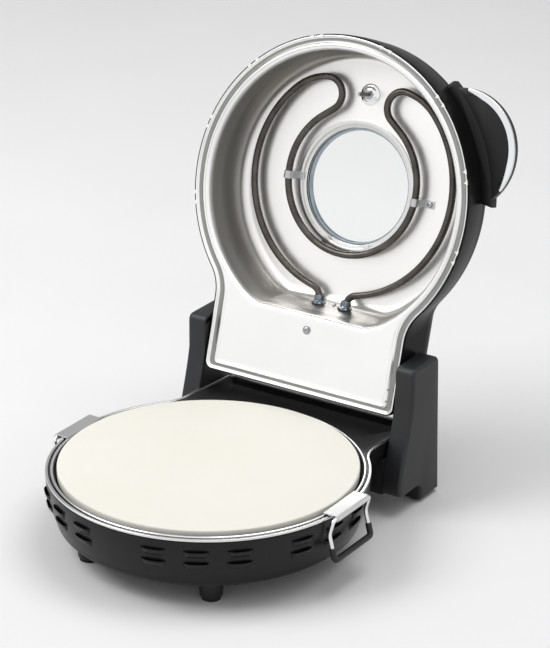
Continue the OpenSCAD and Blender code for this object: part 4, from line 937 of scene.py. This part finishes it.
def make_upper_element():
    """One tube: inner arc, two front turns, outer arc and two bends to the terminals."""
    u = Vector(TURN_C) - Vector((0, ELEMENT_Y))
    turn_dir = math.atan2(u.y, u.x)
    inner_a = math.degrees(turn_dir + math.acos((INNER_ARC + TURN_R) / u.length))
    bu, bo = BLEND_ARC - TURN_R, OUTER_ARC - BLEND_ARC
    along = (bo ** 2 - bu ** 2 + u.length_squared) / (2 * u.length)
    aside = math.sqrt(bo ** 2 - along ** 2)
    d = u.normalized()
    b = Vector((0, ELEMENT_Y)) + d * along + Vector((-d.y, d.x)) * aside
    out_a = math.degrees(math.atan2(TURN_C[1] - b.y, TURN_C[0] - b.x))
    outer_a = math.degrees(math.atan2(b.y - ELEMENT_Y, b.x))
    half = arc(0, ELEMENT_Y, INNER_ARC, 90, inner_a, 48) \
        + arc(*TURN_C, TURN_R, inner_a + 180, out_a + 360, 30) \
        + arc(b.x, b.y, BLEND_ARC, out_a, outer_a, 10)[1:] \
        + ring_path(OUTER_ARC, ELEMENT_Y, CHORD_Y + 5.5, outer_a, 44)
    piece("grill_element", *whole_tube(half, LID_Z + ELEMENT_D), LID, LID_BODY, element_tube,
          "upper_element", "element_tube")


def make_bushes():
    """Crimped collars where the element's ends pass through the liner's rear wall."""
    profile = [(TUBE_R + 0.05, 0), (4.6, 0), (5.2, 0.6), (5.6, 4.6), (5.4, 6.0), (5.9, 7.0), (7.4, 7.6),
               (8.0, 8.4), (8.0, 9.4), (7.2, 10.2), (6.4, 10.8), (6.4, 23.0), (TUBE_R + 0.05, 23.0)]
    parts = []
    for side in (-1, 1):
        points, faces = lathe(profile, n=40)
        parts.append(([(side * TERMINAL_X + x, CHORD_Y - 22 + z, LID_Z + ELEMENT_D + y)
                       for x, y, z in points], faces))
    piece("element_collars", *joined(*parts), LID, LID_BODY, bush_steel, "element_bushes", "bush_steel",
          sharp=30)


def make_clips():
    """Bands round the inner arc's tube, each with a foot that stands on the ceiling."""
    foot_z, z = LID_Z + CEILING_D - 0.05, LID_Z + ELEMENT_D
    half, t, r = 4.0, 0.9, TUBE_R + 0.1
    parts = []
    for side, reach in ((-1, 7.5), (1, 13.5)):
        x0 = side * INNER_ARC
        arm = x0 + r + t + reach
        section = [(arm, foot_z), (arm, foot_z - t), (x0 + r + t, foot_z - t)] \
            + arc(x0, z, r + t, 0, -180, 16) + [(x0 - r - t, z + 3.2), (x0 - r, z + 3.2)] \
            + arc(x0, z, r, -180, 0, 16) + [(x0 + r, foot_z)]
        loops = [[(x, CLIP_Y + y, h) for x, h in section] for y in (-half, 0, half)]
        parts.append(skin(loops, wrap=False, caps=True))
    piece("element_bands", *joined(*parts), LID, LID_BODY, bracket_steel, "element_clips",
          "bracket_steel", sharp=40)


def threaded_rod(r, start, end, pitch=1.0):
    """Half profile of a threaded rod with a blunt tip, as (radius, depth)."""
    turns = int((end - start - 1.2) / pitch)
    thread = []
    for i in range(turns):
        h = start + pitch * i
        thread += [(r * 0.84, h + pitch * 0.05), (r, h + pitch * 0.5)]
    return [(0, -1), (r, -1), (r, start)] + thread + [(r * 0.84, end - 1.0), (r * 0.6, end), (0, end)]


def make_stud():
    """Domed washer, nut and a long threaded stud in the ceiling."""
    spot = (0, STUD_Y, LID_Z + CEILING_D)
    washer = [(2.6, 0), (11, 0), (11.2, 0.4), (10.6, 1.0), (9.0, 1.1), (8.2, 1.5), (7.0, 2.6), (5.4, 3.1),
              (2.6, 3.1)]
    piece("stud_washer", *lathe_down(washer, spot, 72), LID, LID_BODY, bright_chrome, "ceiling_washer",
          "bracket_steel", sharp=50)
    nut = [(0, 3.0), (4.5, 3.0), (4.9, 3.4), (4.9, 6.1), (4.3, 6.6), (0, 6.6)]
    parts = [lathe_down(threaded_rod(2.3, 6.7, 24.5), spot, 32), lathe_down(nut, spot, 6)]
    piece("stud_and_nut", *joined(*parts), LID, LID_BODY, screw_steel, "ceiling_stud", "screw_steel",
          sharp=25)


def wall_r_at(h):
    """The dome's radius at a height above the lid's rim, and its forward shift."""
    wall = LID_H - CROWN_H
    if h <= wall:
        draw = LID_DRAFT * (h / wall) ** 1.5
    else:
        draw = LID_DRAFT + CROWN_W * (1 - math.sqrt(max(0.0, 1 - ((h - wall) / CROWN_H) ** 2)))
    return BASE_R - draw, CROWN_FORWARD * h / LID_H


def make_handle():
    """Half-moon grip on a ridge that follows the dome's wall."""
    middle, sweep, ridge_sweep, sunk = math.degrees(HANDLE_A), 81, 23.5, 0.2

    def crescent(h, shrink):
        """The grip's outline: its round edge and the dome's wall behind it."""
        r, forward = wall_r_at(h)
        grip = arc(*HANDLE_C, HANDLE_R - shrink, middle - sweep, middle + sweep, 48)
        a0, a1 = (math.degrees(math.atan2(y + forward, x)) for x, y in (grip[-1], grip[0]))
        return level(grip + arc(0, -forward, r - sunk, a0, a1, 30), LID_Z + h)

    d0, d1 = HANDLE_D, HANDLE_D + HANDLE_T
    grip_levels = [(d0, 1.2), (d0 + 0.35, 0.35), (d0 + 1.2, 0), (d1 - 3, 0), (d1 - 1.4, 0.5),
                   (d1 - 0.4, 1.6), (d1, 3.2)]

    def ridge(h, shrink, rise):
        """The ridge's outline between its own front and the dome's wall."""
        r, forward = wall_r_at(min(h, 57))
        half = ridge_sweep - math.degrees(shrink / 165)
        front = arc(0, 0, BASE_R + 6.5 - shrink - rise, middle - half, middle + half, 40)
        return level(front + arc(0, -forward, r - sunk, middle + half, middle - half, 40), LID_Z + h)

    ridge_levels = [(d0 - 1, 1.2, 0), (d0 - 0.6, 0.4, 0), (d0 + 0.3, 0, 0), (d1, 0, 0),
                    (d1 + 1.2, 0.6, 0.4), (d1 + 2, 1.8, 1.2)]
    parts = [skin([crescent(h, s) for h, s in grip_levels], wrap=False, caps=True),
             skin([ridge(h, s, q) for h, s, q in ridge_levels], wrap=False, caps=True)]
    piece("half_moon_grip", *joined(*parts), LID, LID_BODY, handle_plastic, "lid_handle",
          "handle_plastic", sharp=35)


def make_handle_strip():
    """Polished strip let into the lower edge of the grip."""
    r0, r1 = HANDLE_R - STRIP_W, HANDLE_R + 0.3
    z0, z1 = LID_Z + HANDLE_D - 0.35, LID_Z + HANDLE_D + 3
    section = round_profile([(r0, z0), (r1, z0), (r1, z1), (r0, z1)], 0.7, 4)
    middle, sweep = math.degrees(HANDLE_A), 61
    rails = [level(arc(*HANDLE_C, r, middle - sweep, middle + sweep, 60), z) for r, z in section]
    loops = [list(loop) for loop in zip(*rails)]
    piece("grip_strip", *skin(loops, wrap=False, caps=True), LID, LID_BODY, bright_chrome,
          "handle_strip", "strip_chrome", sharp=50)


# ---------------------------------------------------------------- what repeats


def repeat_tree(name):
    """Geometry nodes that put one piece on each point, turned by its stored angles."""
    tree = bpy.data.node_groups.new(name, "GeometryNodeTree")
    face = tree.interface
    face.new_socket("Geometry", in_out="INPUT", socket_type="NodeSocketGeometry")
    face.new_socket("Piece", in_out="INPUT", socket_type="NodeSocketObject")
    face.new_socket("Size", in_out="INPUT", socket_type="NodeSocketFloat")
    face.new_socket("Finish", in_out="INPUT", socket_type="NodeSocketMaterial")
    face.new_socket("Geometry", in_out="OUTPUT", socket_type="NodeSocketGeometry")
    n = {k: tree.nodes.new(t) for k, t in (
        ("in", "NodeGroupInput"), ("object", "GeometryNodeObjectInfo"),
        ("turn", "GeometryNodeInputNamedAttribute"), ("place", "GeometryNodeInstanceOnPoints"),
        ("real", "GeometryNodeRealizeInstances"), ("finish", "GeometryNodeSetMaterial"),
        ("out", "NodeGroupOutput"))}
    n["turn"].data_type = "FLOAT_VECTOR"
    n["turn"].inputs["Name"].default_value = "turn"
    join = tree.links.new
    join(n["in"].outputs["Piece"], n["object"].inputs["Object"])
    join(n["in"].outputs["Geometry"], n["place"].inputs["Points"])
    join(n["object"].outputs["Geometry"], n["place"].inputs["Instance"])
    join(n["turn"].outputs["Attribute"], n["place"].inputs["Rotation"])
    join(n["in"].outputs["Size"], n["place"].inputs["Scale"])
    join(n["place"].outputs["Instances"], n["real"].inputs["Geometry"])
    join(n["real"].outputs["Geometry"], n["finish"].inputs["Geometry"])
    join(n["in"].outputs["Finish"], n["finish"].inputs["Material"])
    join(n["finish"].outputs["Geometry"], n["out"].inputs["Geometry"])
    return tree


REPEAT = repeat_tree("repeat_piece")


def repeated(name, part, spots, place, body, material, node=(), sharp=35):
    """Repeats a part at each spot, a point with its turn about X, Y and Z in degrees."""
    mesh = bpy.data.meshes.new(name + "_one")
    mesh.from_pydata([tuple(p) for p in part[0]], [], part[1])
    close_up(mesh)
    one = bpy.data.objects.new(name + "_one", mesh)
    cloud = bpy.data.meshes.new(name)
    cloud.from_pydata([s[0] for s in spots], [], [])
    turns = cloud.attributes.new("turn", "FLOAT_VECTOR", "POINT")
    for i, s in enumerate(spots):
        turns.data[i].vector = [math.radians(a) for a in s[1]]
    obj = bpy.data.objects.new(name, cloud)
    bpy.context.collection.objects.link(obj)
    modifier = obj.modifiers.new("repeat", "NODES")
    modifier.node_group = REPEAT
    sockets = {s.name: s.identifier for s in REPEAT.interface.items_tree if s.in_out == "INPUT"}
    modifier[sockets["Piece"]] = one
    modifier[sockets["Size"]] = 1.0
    modifier[sockets["Finish"]] = material
    finished(obj)
    bpy.data.objects.remove(one)
    obj.data.transform(place)
    shade(obj, sharp)
    hand_over(obj, body, node)


def louvre_hood():
    """A hood pressed out of the wall: open along its long upper edge, fading out below."""
    width_top, width_low, height, out, sheet = 25.0, 20.0, 7.4, 3.0, 0.7
    cols, rows = 24, 8

    def surface(push):
        """The hood's outside, or its inside push further in."""
        points = []
        for i in range(rows + 1):
            v = i / rows
            half = (width_top + (width_low - width_top) * v) / 2
            for j in range(cols + 1):
                u = 2 * j / cols - 1
                bulge = out * (1 - v ** 2.6) * max(0.0, 1 - abs(u) ** 4) - push
                points.append((bulge, u * half, height / 2 - height * v))
        return points

    outer, inner = surface(0), surface(sheet)
    faces = []
    w = cols + 1
    size = len(outer)
    for i in range(rows):
        for j in range(cols):
            a, b = i * w + j, i * w + j + 1
            faces.append((a, b, b + w, a + w))
            faces.append((size + a, size + a + w, size + b + w, size + b))
    edge = [j for j in range(w)] + [i * w + cols for i in range(1, rows + 1)] \
        + [rows * w + j for j in range(cols - 1, -1, -1)] + [i * w for i in range(rows - 1, 0, -1)]
    for k, a in enumerate(edge):
        b = edge[(k + 1) % len(edge)]
        faces.append((a, size + a, size + b, b))
    return outer + inner, faces


def slit_shade_block():
    """A dark block behind a louvre's upper edge: painted shade standing in for the open slit in the uncut
    wall.
    """
    w, h, d = 21.0, 1.9, 0.25
    corners = [(x, y, z) for x in (-1.0, d) for y in (-w / 2, w / 2) for z in (0, h)]
    return corners, [(0, 1, 3, 2), (4, 6, 7, 5), (0, 4, 5, 1), (2, 3, 7, 6), (0, 2, 6, 4), (1, 5, 7, 3)]


def make_louvres():
    """Groups of three louvres in two rows, each leaning with the bowl's wall."""
    spots, slit_shade_spots = [], []
    for group in LOUVRE_GROUPS:
        for step in (-1, 0, 1):
            a = -90 + group + LOUVRE_STEP * step
            c, s = math.cos(math.radians(a)), math.sin(math.radians(a))
            for z in LOUVRE_ROWS:
                r = bowl_r_at(z) - 0.15
                lean = math.degrees(math.atan(2 * BOWL_TAPER * (RIM_Z - z) / (RIM_Z - BOWL_Z) ** 2))
                spots.append(((r * c, r * s, z), (0, lean, a)))
                slit_shade_spots.append((((r - 0.1) * c, (r - 0.1) * s, z + 1.6), (0, lean, a)))
    repeated("vent_louvres", louvre_hood(), spots, BENCH, BASE_BODY, shell_black,
             sharp=60)
    # painted shade: dark blocks in the uncut wall where the slits' openings would be
    repeated("vent_slits", slit_shade_block(), slit_shade_spots, BENCH, BASE_BODY, pad_rubber)


def pan_head_screw(r=3.0, h=1.7):
    """A round head with a cross recess, head towards -Z."""
    n = 24
    loops = [ring(q, n, -z) for q, z in ((r, 0), (r, h * 0.35), (r * 0.86, h * 0.78), (r * 0.6, h))]
    cross = [0.14 + 0.34 * abs(math.cos(4 * math.pi * j / n)) ** 6 for j in range(n)]
    recess = [(x * deep, y * deep, z) for (x, y, z), deep in zip(ring(r, n, -h), cross)]
    loops.append(recess)
    loops.append([(x * 0.6, y * 0.6, -h + 0.9) for x, y, z in recess])
    return skin(loops, wrap=False, caps=True)


def make_screws():
    """The clip's screw, the one between the collars, and the flat nut on the liner's neck."""
    clip_spot = ((INNER_ARC + 13.2, CLIP_Y, LID_Z + CEILING_D - 0.9), (0, 0, 20))
    repeated("clip_screw_heads", pan_head_screw(3.2, 1.8), [clip_spot], LID, LID_BODY, screw_steel,
             "clip_screws")
    wall_spot = ((1.5, liner_wall_y(ELEMENT_D + 2) - 0.1, LID_Z + ELEMENT_D + 1.5), (-78, 0, 15))
    repeated("wall_screw_head", pan_head_screw(2.3, 1.5), [wall_spot], LID, LID_BODY, screw_steel)
    spot = (0, NECK_SCREW_Y, LID_Z + 1.85)
    washer = [(1.7, 0), (4.6, 0), (4.7, 0.2), (4.3, 0.5), (1.7, 0.55)]
    nut = [(0, 0.5), (3.2, 0.5), (3.4, 0.65), (3.4, 1.6), (3.0, 1.8), (0, 1.8)]
    tip = [(1.7, 1.6), (1.7, 2.0), (1.4, 2.15), (0, 2.15)]
    parts = [lathe_down(washer, spot, 40), lathe_down(nut, spot, 6), lathe_down(tip, spot, 24)]
    piece("neck_screw_and_nut", *joined(*parts), LID, LID_BODY, screw_steel, "neck_screw", "screw_steel",
          sharp=25)


# ---------------------------------------------------------------- room, light and camera


def make_room():
    """A pale floor that curves up into a wall behind the cooker."""
    m, nodes, links, shader, place = new_material("pale_floor")
    n = noise(nodes, links, place, 3, 2)
    tint(nodes, links, n, (0.86, 0.86, 0.86), (0.89, 0.89, 0.89), shader.inputs["Base Color"])
    spread(nodes, links, n, 0.75, 0.9, shader.inputs["Roughness"])
    half_width, front, back, high, bend = 12.0, -6.0, 4.5, 6.0, 0.5
    line = [(front, 0)] + arc(back - bend, bend, bend, -90, 0, 12) + [(back, high)]
    turn = Matrix.Rotation(VIEW_TURN, 4, "Z")
    points = [turn @ Vector((x, y, z)) for x in (-half_width, half_width) for y, z in line]
    k = len(line)
    faces = [(i, i + 1, k + i + 1, k + i) for i in range(k - 1)]
    mesh = bpy.data.meshes.new("floor_sweep")
    mesh.from_pydata(points, [], faces)
    mesh.materials.append(m)
    room = bpy.data.objects.new("floor_sweep", mesh)
    bpy.context.collection.objects.link(room)
    mesh.shade_smooth()


def make_lamp(name, spot, aim, size, watts):
    """A square softbox aimed at a point."""
    data = bpy.data.lights.new(name, "AREA")
    data.shape = "SQUARE"
    data.size = size
    data.energy = watts
    lamp = bpy.data.objects.new(name, data)
    lamp.location = spot
    lamp.rotation_euler = (Vector(aim) - Vector(spot)).to_track_quat("-Z", "Y").to_euler()
    bpy.context.collection.objects.link(lamp)


def make_light():
    """White all round: full where it is seen or mirrored, weaker as a light, with two softboxes."""
    world = bpy.data.worlds.new("studio")
    bpy.context.scene.world = world
    world.use_nodes = True
    nodes, links = world.node_tree.nodes, world.node_tree.links
    plain, seen = nodes["Background"], nodes.new("ShaderNodeBackground")
    for white, strength in ((plain, 0.45), (seen, 1.0)):
        white.inputs["Color"].default_value = (1, 1, 1, 1)
        white.inputs["Strength"].default_value = strength
    path = nodes.new("ShaderNodeLightPath")
    both, also = nodes.new("ShaderNodeMath"), nodes.new("ShaderNodeMath")
    both.operation = also.operation = "MAXIMUM"
    links.new(path.outputs["Is Camera Ray"], both.inputs[0])
    links.new(path.outputs["Is Glossy Ray"], both.inputs[1])
    links.new(both.outputs[0], also.inputs[0])
    links.new(path.outputs["Is Transmission Ray"], also.inputs[1])
    mix = nodes.new("ShaderNodeMixShader")
    links.new(also.outputs[0], mix.inputs["Fac"])
    links.new(plain.outputs[0], mix.inputs[1])
    links.new(seen.outputs[0], mix.inputs[2])
    links.new(mix.outputs[0], nodes["World Output"].inputs["Surface"])
    make_lamp("key_softbox", (-1.6, -1.2, 2.4), (0, 0.05, 0.1), 1.8, 46)
    make_lamp("top_softbox", (0.5, 0.6, 2.6), (0, 0.1, 0), 1.6, 24)


def make_camera():
    """The camera fitted to the stone's and rim's ellipses, looking from the right front."""
    right = VIEW_RIGHT.normalized()
    back = right.cross(VIEW_UP.normalized())
    up = back.cross(right)
    data = bpy.data.cameras.new("camera")
    data.lens = LENS
    data.sensor_width = SENSOR_W
    data.clip_start, data.clip_end = 0.1, 50
    camera = bpy.data.objects.new("camera", data)
    spot = BENCH @ VIEW_SPOT
    camera.matrix_world = Matrix((
        (right.x, up.x, back.x, spot.x), (right.y, up.y, back.y, spot.y),
        (right.z, up.z, back.z, spot.z), (0, 0, 0, 1)))
    bpy.context.collection.objects.link(camera)
    bpy.context.scene.camera = camera


for node, material in CAD_FINISHES.items():
    mesh = frame["nodes"][node].data
    mesh.materials.clear()
    mesh.materials.append(material)

make_base_shell()
make_rim_trim()
make_feet()
make_stone()
make_tray()
make_pan()
make_tabs()
make_bails()
make_towers()
make_lower_element()
make_lid_shell()
make_liner()
make_window()
make_upper_element()
make_bushes()
make_clips()
make_stud()
make_handle()
make_handle_strip()
make_louvres()
make_screws()
make_room()
make_light()
make_camera()

scene = bpy.context.scene
scene.view_settings.view_transform = "Standard"
